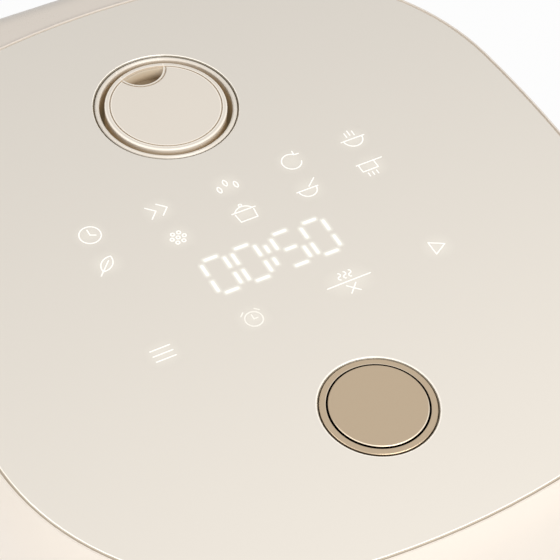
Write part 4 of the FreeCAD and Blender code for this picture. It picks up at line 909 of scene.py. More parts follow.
@dataclass(frozen=True)
class SoftGlow(BackLight):
    """Light that spreads in the glass round a lit sign and fades away from it.

    Attributes:
        cover: How much of the glass the glow hides beside the sign.
        fade: How quickly the glow falls away.
    """

    cover: float = 0.5
    fade: float = 1.6

    def extras(self, shader: Shader) -> dict[str, Any]:
        """Return the sockets for an even light whose cover follows the sheet's own fading value.

        Args:
            shader: The material's shader.

        Returns:
            Values by socket.
        """
        lit = shader.node("Attribute", {"attribute_name": LIT_ATTRIBUTE}, output="Fac")
        alpha = lit**self.fade * self.cover
        return {"emission_color": self.colour, "emission_strength": 1.0, "alpha": alpha}


CREAM = screen_colour(229, 221, 210)
CASING = screen_colour(227, 218, 208)
LACQUER = screen_colour(24, 92, 48)
BOARD_THICKNESS = 0.0016
POWER_FOOT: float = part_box("power_board")[0][2]
DISPLAY_TOP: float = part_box("display_board")[1][2]


class Finishes(Enum):
    """The finishes of the cooker."""

    CREAM_PLASTIC = MouldedPlastic("cream_plastic_gloss", CASING, 0.3)
    FRAME_PLASTIC = RecessedPlastic("cream_plastic_recessed", CASING, 0.3)
    VENT_PLASTIC = DepthShadedPlastic("vent_plastic", CREAM, 0.3, depth_shade=screen_colour(192, 171, 142))
    PANEL_GLASS = BackPaintedGlass(
        "cream_glass", screen_colour(223, 217, 208), 0.2, bevel_highlight=screen_colour(252, 246, 236)
    )
    BRONZE = BlastedMetal("bronze_anodised", screen_colour(189, 170, 145), 0.42)
    GREY_PLASTIC = MouldedPlastic(
        "grey_plastic_matt", screen_colour(150, 147, 142), 0.5, layers=moulded(size=0.5, depth=0.012)
    )
    LID_PLASTIC = MouldedPlastic(
        "lid_underside_plastic", screen_colour(196, 190, 181), 0.42, layers=moulded(size=0.4, depth=0.006)
    )
    DARK_PLASTIC = MouldedPlastic(
        "dark_plastic_matt", screen_colour(38, 37, 37), 0.5, layers=moulded(size=0.4, depth=0.01)
    )
    WHITE_PLASTIC = MouldedPlastic(
        "white_reflector", screen_colour(240, 240, 238), 0.6, layers=moulded(size=0.6, depth=0.01)
    )
    RUBBER = SoftRubber("dark_rubber", screen_colour(44, 43, 42), 0.75, bloom=screen_colour(92, 90, 87))
    SILICONE = SoftRubber(
        "pale_silicone", screen_colour(205, 202, 195), 0.5, bloom=screen_colour(228, 226, 221), scatter=0.2
    )
    POT_COATING = StoneCoating(
        "pot_non_stick", screen_colour(62, 59, 56), 0.38, speck=screen_colour(150, 144, 134)
    )
    ALUMINIUM = TurnedMetal("turned_aluminium", screen_colour(206, 206, 205), 0.34)
    STEEL = RolledSteel("rolled_steel", screen_colour(186, 186, 187), 0.32)
    SPRING_STEEL = RolledSteel(
        "spring_wire", screen_colour(160, 160, 163), 0.28, layers=rolled(1.0, 1.0, 0.2)
    )
    ELEMENT_STEEL = RolledSteel(
        "element_tube", screen_colour(112, 108, 104), 0.45, layers=rolled(0.3, 0.3, 1.0)
    )
    BRASS = RolledSteel("brass_pins", screen_colour(205, 172, 102), 0.3, layers=rolled(1.0, 0.05, 1.0))
    POWER_BOARD = CircuitBoard(
        "power_circuit_board", LACQUER, 0.35, low=POWER_FOOT, high=POWER_FOOT + BOARD_THICKNESS
    )
    DISPLAY_BOARD = CircuitBoard(
        "display_circuit_board", LACQUER, 0.35, low=DISPLAY_TOP - BOARD_THICKNESS, high=DISPLAY_TOP
    )
    LIT_DIGIT = LitInlay("lit_digit", screen_colour(255, 255, 252), 0.4)
    LIT = LitInlay("lit_sign", screen_colour(252, 250, 244), 0.4)
    LIT_LOW = LitInlay("lit_sign_low", screen_colour(244, 240, 231), 0.4, warm=screen_colour(238, 232, 221))
    DIGIT_GLOW = SoftGlow("digit_glow", screen_colour(255, 254, 246), 0.4, cover=0.55, fade=1.5)
    SIGN_GLOW = SoftGlow("sign_glow", screen_colour(255, 252, 243), 0.4, cover=0.16, fade=1.3)


class Bench:
    """Hand-modelling moves on one new mesh at a time, all in millimetres.

    Attributes:
        sliver: Length of the strip that an arc starts from, as a share of its width.
        facet: Angle of one facet of an arc, in degrees.
        fewest: Fewest facets of an arc.
        weld: Distance under which two corners become one, in metres.
    """

    sliver: ClassVar[float] = 0.01
    facet: ClassVar[float] = 9.0
    fewest: ClassVar[int] = 6
    weld: ClassVar[float] = 1e-6

    @staticmethod
    def clear() -> None:
        """Leave edit mode and select nothing."""
        if bpy.context.object and bpy.context.object.mode != "OBJECT":
            bpy.ops.object.mode_set(mode="OBJECT")
        bpy.ops.object.select_all(action="DESELECT")

    @staticmethod
    @contextmanager
    def editing() -> Iterator[None]:
        """Hold the active piece in edit mode for a while, with all of it selected at the start.

        Yields:
            Nothing.
        """
        bpy.ops.object.mode_set(mode="EDIT")
        bpy.ops.mesh.select_all(action="SELECT")
        yield
        bpy.ops.object.mode_set(mode="OBJECT")

    @staticmethod
    def face_out() -> None:
        """Turn every face of the piece in edit mode outwards."""
        bpy.ops.mesh.select_all(action="SELECT")
        bpy.ops.mesh.normals_make_consistent(inside=False)

    @staticmethod
    def settle() -> bpy.types.Object:
        """Put the active object's place, turn and size into its mesh and return it."""
        bpy.ops.object.transform_apply(location=True, rotation=True, scale=True)
        return bpy.context.object

    @staticmethod
    def pick(piece: bpy.types.Object, wanted: Callable[[Vector], bool]) -> None:
        """Enter edit mode on the active piece with only some of its corners selected.

        Args:
            piece: The active piece.
            wanted: Test that a corner's place must pass.
        """
        bpy.ops.object.mode_set(mode="EDIT")
        bpy.ops.mesh.select_mode(type="VERT")
        bpy.ops.mesh.select_all(action="DESELECT")
        bpy.ops.object.mode_set(mode="OBJECT")
        for corner in piece.data.vertices:
            corner.select = wanted(corner.co)
        bpy.ops.object.mode_set(mode="EDIT")

    @staticmethod
    def sheet(
        middle: Place, length: float, width: float, turn: float, round_by: float, facets: int = 4
    ) -> bpy.types.Object:
        """Add a flat sheet with rounded or cut corners.

        Args:
            middle: Its middle.
            length: Size along its own length.
            width: Size across it.
            turn: Turn about the upright, in radians.
            round_by: Distance that its corners are rounded from.
            facets: Number of facets on each corner: one cuts it off straight.

        Returns:
            The new object.
        """
        Bench.clear()
        bpy.ops.mesh.primitive_plane_add(size=1.0, location=Vector(middle) * MM, rotation=(0.0, 0.0, turn))
        bpy.context.object.scale = (length * MM, width * MM, 1.0)
        sheet = Bench.settle()
        with Bench.editing():
            bpy.ops.mesh.bevel(offset=round_by * MM, affect="VERTICES", segments=facets)
        return sheet

    @staticmethod
    def arc(middle: Place, radius: float, width: float, first: float, last: float) -> bpy.types.Object:
        """Spin a short edge into a curved ribbon.

        Args:
            middle: Centre of the arc.
            radius: Radius of the ribbon's middle line.
            width: Width of the ribbon.
            first: Angle where it starts, in degrees.
            last: Angle where it ends, in degrees.

        Returns:
            The new object.
        """
        Bench.clear()
        turn = math.radians(first)
        start = Vector(middle) + Vector((math.cos(turn), math.sin(turn), 0.0)) * radius
        bpy.ops.mesh.primitive_plane_add(size=1.0, location=start * MM, rotation=(0.0, 0.0, turn))
        bpy.context.object.scale = (width * MM, width * MM * Bench.sliver, 1.0)
        ribbon = Bench.settle()
        along = Vector((-math.sin(turn), math.cos(turn), 0.0))
        Bench.pick(ribbon, lambda corner: (corner - start * MM).dot(along) < 0)
        bpy.ops.mesh.delete(type="VERT")
        bpy.ops.mesh.select_all(action="SELECT")
        sweep = math.radians(last - first)
        steps = max(Bench.fewest, round(abs(last - first) / Bench.facet))
        bpy.ops.mesh.spin(steps=steps, angle=sweep, center=Vector(middle) * MM, axis=(0.0, 0.0, -1.0))
        bpy.ops.mesh.select_all(action="SELECT")
        bpy.ops.mesh.remove_doubles(threshold=Bench.weld)
        bpy.ops.object.mode_set(mode="OBJECT")
        return ribbon

    @staticmethod
    def thicken(piece: bpy.types.Object, height: float) -> bpy.types.Object:
        """Raise a flat piece into a closed solid.

        Args:
            piece: The active flat piece.
            height: Height that it gets.

        Returns:
            The same object.
        """
        with Bench.editing():
            bpy.ops.mesh.extrude_region_move(TRANSFORM_OT_translate={"value": (0.0, 0.0, height * MM)})
            Bench.face_out()
        return piece

    @staticmethod
    def copy(piece: bpy.types.Object, shift: Place, turn: float = 0.0) -> bpy.types.Object:
        """Copy a piece with a mesh of its own and put the copy elsewhere.

        Args:
            piece: The piece to copy, modelled about the origin.
            shift: Where the copy's origin goes.
            turn: Turn about the upright, in radians.

        Returns:
            The copy.
        """
        twin = piece.copy()
        twin.data = piece.data.copy()
        bpy.context.scene.collection.objects.link(twin)
        twin.data.transform(Matrix.Translation(Vector(shift) * MM) @ Matrix.Rotation(turn, 4, "Z"))
        return twin

    @staticmethod
    def join(name: str, parts: list[bpy.types.Object]) -> bpy.types.Object:
        """Join parts into one named piece.

        Args:
            name: Name of the piece.
            parts: Objects that are joined; the first one stays.

        Returns:
            The joined piece.
        """
        Bench.clear()
        for part in parts:
            part.select_set(True)
        bpy.context.view_layer.objects.active = parts[0]
        if len(parts) > 1:
            bpy.ops.object.join()
        parts[0].name = name
        parts[0].data.name = name
        return parts[0]

    @staticmethod
    def remove(piece: bpy.types.Object) -> None:
        """Delete a pattern that was only there to be copied."""
        bpy.data.objects.remove(piece, do_unlink=True)

    @staticmethod
    def apply(piece: bpy.types.Object, kind: str, **settings: Any) -> None:
        """Add a modifier to a piece and apply it.

        Args:
            piece: The piece.
            kind: Type of the modifier.
            settings: Properties of the modifier.
        """
        Bench.clear()
        piece.select_set(True)
        bpy.context.view_layer.objects.active = piece
        modifier = piece.modifiers.new(kind.lower(), kind)
        for name, value in settings.items():
            setattr(modifier, name, value)
        bpy.ops.object.modifier_apply(modifier=modifier.name)


Coats = dict[Finishes, tuple[str, ...]]


@dataclass
class SubAssembly:
    """A group of pieces on one body of the cooker.

    Attributes:
        body: Name of the body that the new pieces ride on.
        coats: Names of the group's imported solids, by finish.
    """

    body: str

    coats: ClassVar[Coats] = {}

    def build(self) -> None:
        """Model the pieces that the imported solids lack: none, unless a group has some."""

    def dress(self) -> None:
        """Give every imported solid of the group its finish."""
        for finish, nodes in self.coats.items():
            for node in nodes:
                for slot in frame["nodes"][node].material_slots:
                    slot.material = finish.value.material()
                log.info("%s: %s", node, finish.value.name)

    def add(self, piece: bpy.types.Object, finish: Finishes, slot: str) -> None:
        """Finish a new piece and let it ride on the group's body.

        Args:
            piece: The new piece.
            finish: Its finish.
            slot: Material slot of the record that it belongs to; not used.
        """
        piece.data.materials.clear()
        piece.data.materials.append(finish.value.material())
        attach(piece, self.body)
        log.info("%s: new piece, %s, on %s", piece.name, finish.value.name, self.body)


@dataclass
class Screw:
    """A round-headed screw, driven from below, with a cross recess.

    Attributes:
        height: Height of the whole screw.
        head: Radius of the head.
        head_height: Height of the head.
        dome: Radius of the head's rounding.
        shank: Radius of the shank.
        recess: Reach of the cross from the axis.
        blade: Width of the cross's arms.
        taper: Share of an arm's size that is left at its bottom.
        plunge: Depth of the cross.
        edge: Bevel of the other edges.
    """

    height: float
    head: float = 3.4
    head_height: float = 2.0
    dome: float = 0.7
    shank: float = 1.55
    recess: float = 1.9
    blade: float = 0.7
    taper: float = 0.6
    plunge: float = 1.3
    edge: float = 0.08

    def model(self) -> bpy.types.Object:
        """Model one screw with the underside of its head at the origin.

        Returns:
            The screw.
        """
        head = self._rod(self.head, self.head_height, 0.0)
        Bench.pick(head, lambda corner: corner.z < Bench.weld)
        bpy.ops.mesh.select_mode(type="EDGE")
        bpy.ops.mesh.bevel(offset=self.dome * MM, segments=4)
        bpy.ops.object.mode_set(mode="OBJECT")
        cross = Bench.join("cross", [self._arm(0.0), self._arm(math.pi / 2)])
        Bench.apply(head, "BOOLEAN", operation="DIFFERENCE", object=cross, solver="EXACT", use_self=True)
        Bench.remove(cross)
        shank = self._rod(self.shank, self.height - self.head_height, self.head_height)
        screw = Bench.join("screw", [head, shank])
        limit = {"limit_method": "ANGLE", "angle_limit": math.radians(40)}
        Bench.apply(screw, "BEVEL", width=self.edge * MM, segments=2, **limit)
        bpy.ops.object.shade_smooth_by_angle(angle=math.radians(35))
        return screw

    def _rod(self, radius: float, height: float, bottom: float) -> bpy.types.Object:
        """Add an upright rod.

        Args:
            radius: Its radius.
            height: Its height.
            bottom: Height of its lower end.

        Returns:
            The rod.
        """
        Bench.clear()
        size = {"radius": radius * MM, "depth": height * MM}
        middle = (0.0, 0.0, (bottom + height / 2) * MM)
        bpy.ops.mesh.primitive_cylinder_add(vertices=40, location=middle, **size)
        return Bench.settle()

    def _arm(self, turn: float) -> bpy.types.Object:
        """Add one tapered arm of the cross.

        Args:
            turn: Turn about the upright, in radians.

        Returns:
            The arm.
        """
        Bench.clear()
        bpy.ops.mesh.primitive_cube_add(size=1.0, rotation=(0.0, 0.0, turn))
        arm = bpy.context.object
        arm.scale = (self.recess * 2 * MM, self.blade * MM, self.plunge * 2 * MM)
        Bench.settle()
        Bench.pick(arm, lambda corner: corner.z > 0.0)
        bpy.ops.transform.resize(value=(self.taper, self.taper, 1.0), center_override=ORIGIN)
        bpy.ops.object.mode_set(mode="OBJECT")
        return arm


@dataclass
class ScrewSet(SubAssembly):
    """Detailed screws in the place of one plain set.

    Attributes:
        node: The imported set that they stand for, which gives their height.
        spots: Where each one stands, from the pot's axis.
        turn: Turn from one screw's cross to the next one's, in radians.
    """

    node: str
    spots: list[Spot]
    turn: float = 0.7

    def build(self) -> None:
        """Model one screw, copy it to every place and join the copies."""
        low, high = (corner[2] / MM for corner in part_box(self.node))
        pattern = Screw(high - low).model()
        copies = []
        for number, (x, y) in enumerate(self.spots):
            copies.append(Bench.copy(pattern, (x, y + POT_AXIS[1] / MM, low), turn=self.turn * number))
        Bench.remove(pattern)
        screws = Bench.join(f"{self.node}_detailed", copies)
        self.add(screws, Finishes.SPRING_STEEL, "steel")
        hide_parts(self.node)


@dataclass
class CoilSpring(SubAssembly):
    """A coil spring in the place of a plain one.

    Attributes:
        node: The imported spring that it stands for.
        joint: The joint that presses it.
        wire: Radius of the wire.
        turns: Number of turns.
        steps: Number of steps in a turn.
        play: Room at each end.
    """

    node: str
    joint: str
    wire: float = 0.5
    turns: int = 4
    steps: int = 36
    play: float = 0.05

    def build(self) -> None:
        """Wind a coil where the plain spring stands."""
        low, high = (Vector(corner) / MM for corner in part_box(self.node))
        middle = (low + high) / 2
        coil = self._wind(low, high)
        coil.data.transform(Matrix.Translation((middle.x * MM, middle.y * MM, 0.0)))
        bpy.ops.object.shade_smooth_by_angle(angle=math.radians(40))
        self.add(coil, Finishes.SPRING_STEEL, "steel")
        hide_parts(self.node)
        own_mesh(coil)

    def _travel(self) -> float:
        """Return how far the joint goes."""
        joint = next(joint for joint in frame["joints"] if joint["name"] == self.joint)
        return joint["range_m"][1] / MM

    def _wind(self, low: Vector, high: Vector) -> bpy.types.Object:
        """Wind a ring of wire into a coil about the upright and close its ends.

        Args:
            low: Lowest corner of the room that it has.
            high: Highest corner of that room.

        Returns:
            The coil.
        """
        radius = (high.x - low.x) / 2 - self.wire
        foot = low.z + self.wire + self.play
        rise = (high.z - self.wire - self.play - foot) / self.turns
        Bench.clear()
        bpy.ops.mesh.primitive_circle_add(
            vertices=14,
            radius=self.wire * MM,
            location=(radius * MM, 0.0, foot * MM),
            rotation=(math.pi / 2, 0.0, 0.0),
        )
        coil = Bench.join(f"{self.node}_coil", [Bench.settle()])
        steps = {"steps": self.steps, "render_steps": self.steps}
        Bench.apply(coil, "SCREW", axis="Z", screw_offset=rise * MM, iterations=self.turns, **steps)
        with Bench.editing():
            bpy.ops.mesh.fill_holes(sides=0)
            Bench.face_out()
        return coil


@dataclass
class Body(SubAssembly):
    """Casing, base and mains inlet.

    Attributes:
        screw_across: Distance of the side screws from the pot's axis.
        screw_along: Distance of the front and rear screw from it.
    """

    screw_across: float = 105.25
    screw_along: float = 113.75

    coats: ClassVar[Coats] = {
        Finishes.CREAM_PLASTIC: ("outer_shell", "body_collar"),
        Finishes.GREY_PLASTIC: ("base_plate",),
        Finishes.RUBBER: ("rubber_feet",),
        Finishes.STEEL: ("latch_keeper",),
        Finishes.DARK_PLASTIC: ("mains_inlet",),
        Finishes.BRASS: ("inlet_pins",),
    }

    def build(self) -> None:
        """Put detailed screws under the base plate."""
        spots = [(side * self.screw_across, 0.0) for side in (1, -1)]
        spots += [(0.0, end * self.screw_along) for end in (1, -1)]
        ScrewSet(self.body, "base_screws", spots).build()


@dataclass
class Hinge(SubAssembly):
    """Rear housing, pin and springs."""

    coats: ClassVar[Coats] = {
        Finishes.CREAM_PLASTIC: ("hinge_housing",),
        Finishes.STEEL: ("hinge_pin",),
        Finishes.SPRING_STEEL: ("hinge_springs",),
    }


@dataclass
class CookingWell(SubAssembly):
    """Pot, well, heating plate and sensor."""

    coats: ClassVar[Coats] = {
        Finishes.POT_COATING: ("inner_pot",),
        Finishes.STEEL: ("inner_well", "plate_legs", "sensor_bracket"),
        Finishes.ALUMINIUM: ("heating_plate", "sensor_cap"),
        Finishes.ELEMENT_STEEL: ("heating_element",),
        Finishes.POWER_BOARD: ("power_board",),
    }

    def build(self) -> None:
        """Wind the sensor's spring."""
        CoilSpring(self.body, "sensor_spring", "sensor_press").build()


@dataclass
class Lid(SubAssembly):
    """Both halves of the lid, the inner lid and the latch.

    Attributes:
        screw_across: Distance of the four outer screws to the side of the pot's axis.
        screw_along: Their distance to the front and the rear of it.
        screw_middle: Distance of the two side screws from it.
    """

    screw_across: float = 93.0
    screw_along: float = 62.5
    screw_middle: float = 97.5

    coats: ClassVar[Coats] = {
        Finishes.FRAME_PLASTIC: ("lid_frame",),
        Finishes.LID_PLASTIC: ("lid_cover",),
        Finishes.ALUMINIUM: ("inner_lid",),
        Finishes.SILICONE: ("lid_seal", "lid_grommet", "vent_seal"),
        Finishes.STEEL: ("lid_stud", "lid_sensor", "latch_pin"),
        Finishes.GREY_PLASTIC: ("latch_lever",),
    }

    def build(self) -> None:
        """Put detailed screws under the lid."""
        spots = [(side * self.screw_across, end * self.screw_along) for side in (1, -1) for end in (1, -1)]
        spots += [(side * self.screw_middle, 0.0) for side in (1, -1)]
        ScrewSet(self.body, "lid_screws", spots).build()


@dataclass
class SteamVent(SubAssembly):
    """Seat, cap and cup of the steam valve."""

    coats: ClassVar[Coats] = {
        Finishes.VENT_PLASTIC: ("vent_seat", "steam_cap"),
        Finishes.GREY_PLASTIC: ("valve_body",),
        Finishes.SILICONE: ("valve_gasket",),
    }


@dataclass
class ReleaseButton(SubAssembly):
    """Button, its ring and what stands under it.

    Attributes:
        stand: Name of the body that the button's spring stands on.
    """

    stand: str = "lid"

    coats: ClassVar[Coats] = {
        Finishes.BRONZE: ("button_bezel", "release_button"),
        Finishes.GREY_PLASTIC: ("button_plunger",),
    }

    def build(self) -> None:
        """Wind the button's spring."""
        CoilSpring(self.stand, "button_spring", "button_press").build()


@dataclass(frozen=True)
class Bar:
    """A straight stroke between two points of a sign."""

    start: Spot
    end: Spot


@dataclass(frozen=True)
class Arc:
    """A curved stroke of a sign: its centre, its radius, and its first and last angle in degrees."""

    centre: Spot
    radius: float
    first: float = 0.0
    last: float = 360.0


Stroke = Union[Bar, Arc]


def path(*points: Spot) -> list[Stroke]:
    """Return the straight strokes that join points in order."""
    return [Bar(start, end) for start, end in zip(points, points[1:])]


def grain(x: float, y: float) -> list[Stroke]:
    """Return the two arcs of one upright grain about a point."""
    offset, radius, half = 1.1, 1.7, 49.5
    return [Arc((x - offset, y), radius, -half, half), Arc((x + offset, y), radius, 180 - half, 180 + half)]


def ripple(x: float, y: float) -> list[Stroke]:
    """Return one upright ripple of rising heat from a point."""
    bend = 0.6
    return [Arc((x, y + bend), bend, 90, 270), Arc((x, y + bend * 3), bend, -90, 90)]


def ring_of_beads() -> list[Stroke]:
    """Return a bead with a ring of beads round it.

    Returns:
        The strokes of all beads.
    """
    bead, ring, count = 0.55, 1.95, 6
    turns = [number * math.tau / count for number in range(count)]
    spots = [(ring * math.cos(turn), ring * math.sin(turn)) for turn in turns]
    return [Arc((0, 0), bead), *[Arc(spot, bead) for spot in spots]]


@dataclass(frozen=True)
class Sign:
    """A menu sign behind the glass.

    Attributes:
        name: What the sign shows.
        middle: Its middle from the middle of the glass.
        strokes: Its strokes about that middle.
        size: Width and depth of the light that spreads round it.
        finish: How brightly it is lit.
    """

    name: str
    middle: Spot
    strokes: list[Stroke]
    size: Spot = (13.0, 12.0)
    finish: Finishes = Finishes.LIT


class Segment(Enum):
    """The bars of a digit: middle across and along in shares of its spread, and whether it is upright."""

    TOP = (0.0, 1.0, False)
    MIDDLE = (0.0, 0.0, False)
    BOTTOM = (0.0, -1.0, False)
    UPPER_LEFT = (-1.0, 0.49, True)
    UPPER_RIGHT = (1.0, 0.49, True)
    LOWER_LEFT = (-1.0, -0.49, True)
    LOWER_RIGHT = (1.0, -0.49, True)


NOUGHT = [segment for segment in Segment if segment is not Segment.MIDDLE]
FIVE = [Segment.TOP, Segment.UPPER_LEFT, Segment.MIDDLE, Segment.LOWER_RIGHT, Segment.BOTTOM]


@dataclass
class Display(SubAssembly):
    """Glass top and the lit digits and signs that show through it.

    Attributes:
        slot: Material slot of the record that the lit pieces belong to.
        inlay: Height of a lit stroke over the glass.
        sunk: Depth of a lit stroke's foot in the glass.
        digit_row: Middle of the digits from the middle of the glass.
        digit_spread: Half the width and half the depth of a digit, between its bars' middles.
        digits: Middle of each digit across the glass, and its bars.
        bar_length: Length of a digit's bar.
        bar_width: Width of a digit's bar.
        bar_taper: Distance that a bar's corners are cut from, as a share of its width.
        middle_bar: Length of a digit's middle bar, as a share of the others.
        colon_bar: Length of the colon's bars, as a share of the digits'.
        colon: Place of the colon's bars across the glass, and their distance from the middle of the digits.
        glow: Reach of the light that spreads round a digit's bar.
        glow_round: Rounding of that light's corners, as a share of its reach.
        sign_rows: Back, middle and front row of signs, from the middle of the glass.
        sign_scale: Factor on every sign.
        sign_fade: Reach of the light that spreads round a sign, as a share of its smaller size.
        round_share: Rounding of that light and of a stroke, as a share of their smaller size.
        stroke: Width of a sign's stroke.
    """

    slot: str = "panel_glass"
    inlay: float = 0.04
    sunk: float = 0.02
    digit_row: float = -5.15
    digit_spread: Spot = (4.16, 7.6)
    digits: list[tuple[float, list[Segment]]] = field(
        default_factory=lambda: [(-18.7, NOUGHT), (-7.4, NOUGHT), (7.1, FIVE), (18.4, NOUGHT)]
    )
    bar_length: float = 5.0
    bar_width: float = 1.02
    bar_taper: float = 0.4
    middle_bar: float = 0.84
    colon_bar: float = 0.66
    colon: Spot = (-0.15, 2.95)
    glow: float = 1.1
    glow_round: float = 1.1
    sign_rows: Place = (28.9, 15.2, -26.1)
    sign_scale: float = 1.15
    sign_fade: float = 0.42
    round_share: float = 0.45
    stroke: float = 0.45

    coats: ClassVar[Coats] = {
        Finishes.PANEL_GLASS: ("top_panel",),
        Finishes.WHITE_PLASTIC: ("light_guide",),
        Finishes.DISPLAY_BOARD: ("display_board",),
    }

    def build(self) -> None:
        """Model the digits, the colon, the signs and the light that spreads round them."""
        self._build_digits()
        for sign in self.signs():
            self._build_sign(sign)

    def signs(self) -> list[Sign]:
        """Return the signs of all three rows, back row first.

        Returns:
            The signs, each row from left to right.
        """
        rear, middle, front = self.sign_rows
        steam = [Bar((-1.3, 1.5), (-1.3, 3.2)), Bar((0.0, 1.9), (0.0, 3.8)), Bar((1.3, 1.5), (1.3, 3.2))]
        heat = [Bar((x, -3.4), (x, -2.1)) for x in (-2.4, -1.0, 0.4)]
        return [
            Sign("clock", (-49.5, rear), [Arc((0, 0), 3.2), *path((0, 2.1), (0, 0), (1.5, -0.7))]),
            Sign("forward", (-24.4, rear), [
                *path((-3.2, 2.4), (-0.8, 0), (-3.2, -2.4)),
                *path((0.4, 2.4), (2.8, 0), (0.4, -2.4)),
            ]),
            Sign("grains", (1.2, rear), [*grain(-2.7, -0.8), *grain(0, 1.0), *grain(2.7, -0.8)]),
            Sign("turn_round", (26.3, rear), [
                Arc((0, 0), 3.0, 48, 345),
                *path((3.4, 2.1), (2.0, 2.2), (2.1, 3.7)),
            ]),
            Sign("bowl", (50.5, rear), [
                Arc((0, 0.3), 3.1, 180, 360),
                Bar((-3.9, 0.3), (3.9, 0.3)),
                *steam,
            ]),
            Sign("leaf", (-50.0, middle), [
                Arc((-1.57, 1.57), 3.82, -99.5, 9.5),
                Arc((1.57, -1.57), 3.82, 80.5, 189.5),
                Bar((-3.4, -3.4), (0.9, 0.9)),
            ]),
            Sign("beads", (-24.0, middle), ring_of_beads()),
            Sign("lidded_pot", (1.0, middle), [
                Arc((0, -0.7), 3.3, 32, 148),
                Arc((0, 3.2), 0.45),
                Bar((-3.8, 1.0), (3.8, 1.0)),
                *path((-3.0, 0.3), (-2.7, -2.8), (2.7, -2.8), (3.0, 0.3)),
            ]),
            Sign("spoon_and_bowl", (25.5, middle), [
                Arc((-0.5, 0.2), 2.9, 180, 360),
                Bar((-4.0, 0.2), (3.0, 0.2)),
                Bar((0.5, 1.0), (3.4, 3.4)),
            ]),
            Sign("saucepan", (50.0, middle), [
                *path((-3.6, 1.9), (-3.6, -1.1), (1.6, -1.1), (1.6, 1.9)),
                Bar((-4.2, 1.9), (4.4, 1.9)),
                *heat,
            ]),
            Sign("list", (-50.5, front), [Bar((-3.0, y), (3.0, y)) for y in (2.0, 0.0, -2.0)]),
            Sign("alarm", (-18.1, front), [
                Arc((0, -0.3), 2.6),
                *path((0, 1.3), (0, -0.3), (1.2, -0.3)),
                Bar((-2.9, 2.0), (-1.8, 3.0)),
                Bar((2.9, 2.0), (1.8, 3.0)),
            ], finish=Finishes.LIT_LOW),
            Sign("warm_and_stop", (17.2, front), [
                *ripple(-1.7, 1.3),
                *ripple(0.0, 1.3),
                *ripple(1.7, 1.3),
                Bar((-7.0, 0.0), (7.0, 0.0)),
                Bar((-1.5, -4.3), (1.5, -1.3)),
                Bar((-1.5, -1.3), (1.5, -4.3)),
            ], size=(19.0, 14.0)),
            Sign("start", (51.0, front), path((-1.7, 2.4), (2.5, 0.0), (-1.7, -2.4), (-1.7, 2.4))),
        ]

    def _level(self, x: float, y: float, over: float) -> Place:
        """Return a point over the glass, from its place on the glass and its height over it."""
        return x, y + POT_AXIS[1] / MM, GLASS_TOP / MM + over

    def _bar_spots(self) -> list[tuple[float, float, float, float]]:
        """Return where the bars of the digits and the colon lie.

        Returns:
            The middle, the length and the turn of every bar.
        """
        across, along = self.digit_spread
        spots = []
        for middle, segments in self.digits:
            for segment in segments:
                share_x, share_y, upright = segment.value
                length = self.bar_length * (self.middle_bar if segment is Segment.MIDDLE else 1.0)
                turn = math.pi / 2 if upright else 0.0
                spots.append((middle + across * share_x, self.digit_row + along * share_y, length, turn))
        x, apart = self.colon
        for y in (apart, -apart):
            spots.append((x, self.digit_row + y, self.bar_length * self.colon_bar, math.pi / 2))
        return spots

    def _build_digits(self) -> None:
        """Model each length of bar and its glow once, and copy them to every place."""
        bars, glows, patterns = [], [], {}
        for x, y, length, turn in self._bar_spots():
            if length not in patterns:
                patterns[length] = (self._bar(length), self._bar_glow(length))
            bar, glow = patterns[length]
            bars.append(Bench.copy(bar, self._level(x, y, -self.sunk), turn))
            glows.append(Bench.copy(glow, self._level(x, y, self.inlay / 2), turn))
        for pair in patterns.values():
            for pattern in pair:
                Bench.remove(pattern)
        self.add(Bench.join("lit_digits", bars), Finishes.LIT_DIGIT, self.slot)
        self.add(Bench.join("lit_digits_glow", glows), Finishes.DIGIT_GLOW, self.slot)

    def _bar(self, length: float) -> bpy.types.Object:
        """Model one bar of a digit about the origin, with tapered ends."""
        bar = Bench.sheet(ORIGIN, length, self.bar_width, 0.0, self.bar_width * self.bar_taper, facets=1)
        return Bench.thicken(bar, self.sunk + self.inlay)

    def _bar_glow(self, length: float) -> bpy.types.Object:
        """Model the light that spreads round one bar: a sheet that fades from the bar to its edge.

        Args:
            length: Length of the bar.

        Returns:
            The sheet, about the origin.
        """
        reach = self.glow * 2
        corner = self.glow * self.glow_round
        glow = Bench.sheet(ORIGIN, length + reach, self.bar_width + reach, 0.0, corner)
        self._fade(glow, self.glow)
        return glow

    def _fade(self, sheet: bpy.types.Object, reach: float) -> None:
        """Inset a sheet in two steps and write how strongly each ring is lit.

        Args:
            sheet: The flat sheet, which is active.
            reach: Distance over which the light fades.
        """
        with Bench.editing():
            bpy.ops.mesh.select_mode(type="FACE")
            for _ in range(2):
                bpy.ops.mesh.inset(thickness=reach / 2 * MM)
        outline = self._outline(sheet)
        values = []
        for corner in sheet.data.vertices:
            values.append(0.0 if corner.index in outline else 1.0 if corner.select else 0.5)
        sheet.data.attributes.new(LIT_ATTRIBUTE, "FLOAT", "POINT").data.foreach_set("value", values)

    @staticmethod
    def _outline(sheet: bpy.types.Object) -> set[int]:
        """Return the numbers of the corners on the outside of a sheet."""
        uses = Counter(key for face in sheet.data.polygons for key in face.edge_keys)
        return {corner for key, count in uses.items() if count == 1 for corner in key}

    def _build_sign(self, sign: Sign) -> None:
        """Model one sign from its strokes, and the faint light round it.

        Args:
            sign: The sign.
        """
        parts = [self._stroke(sign.middle, stroke) for stroke in sign.strokes]
        self.add(Bench.join(f"sign_{sign.name}", parts), sign.finish, self.slot)
        smaller = min(sign.size)
        place = self._level(*sign.middle, self.inlay / 4)
        spread = Bench.sheet(place, *sign.size, 0.0, smaller * self.round_share)
        self._fade(spread, smaller * self.sign_fade)
        self.add(Bench.join(f"sign_{sign.name}_glow", [spread]), Finishes.SIGN_GLOW, self.slot)

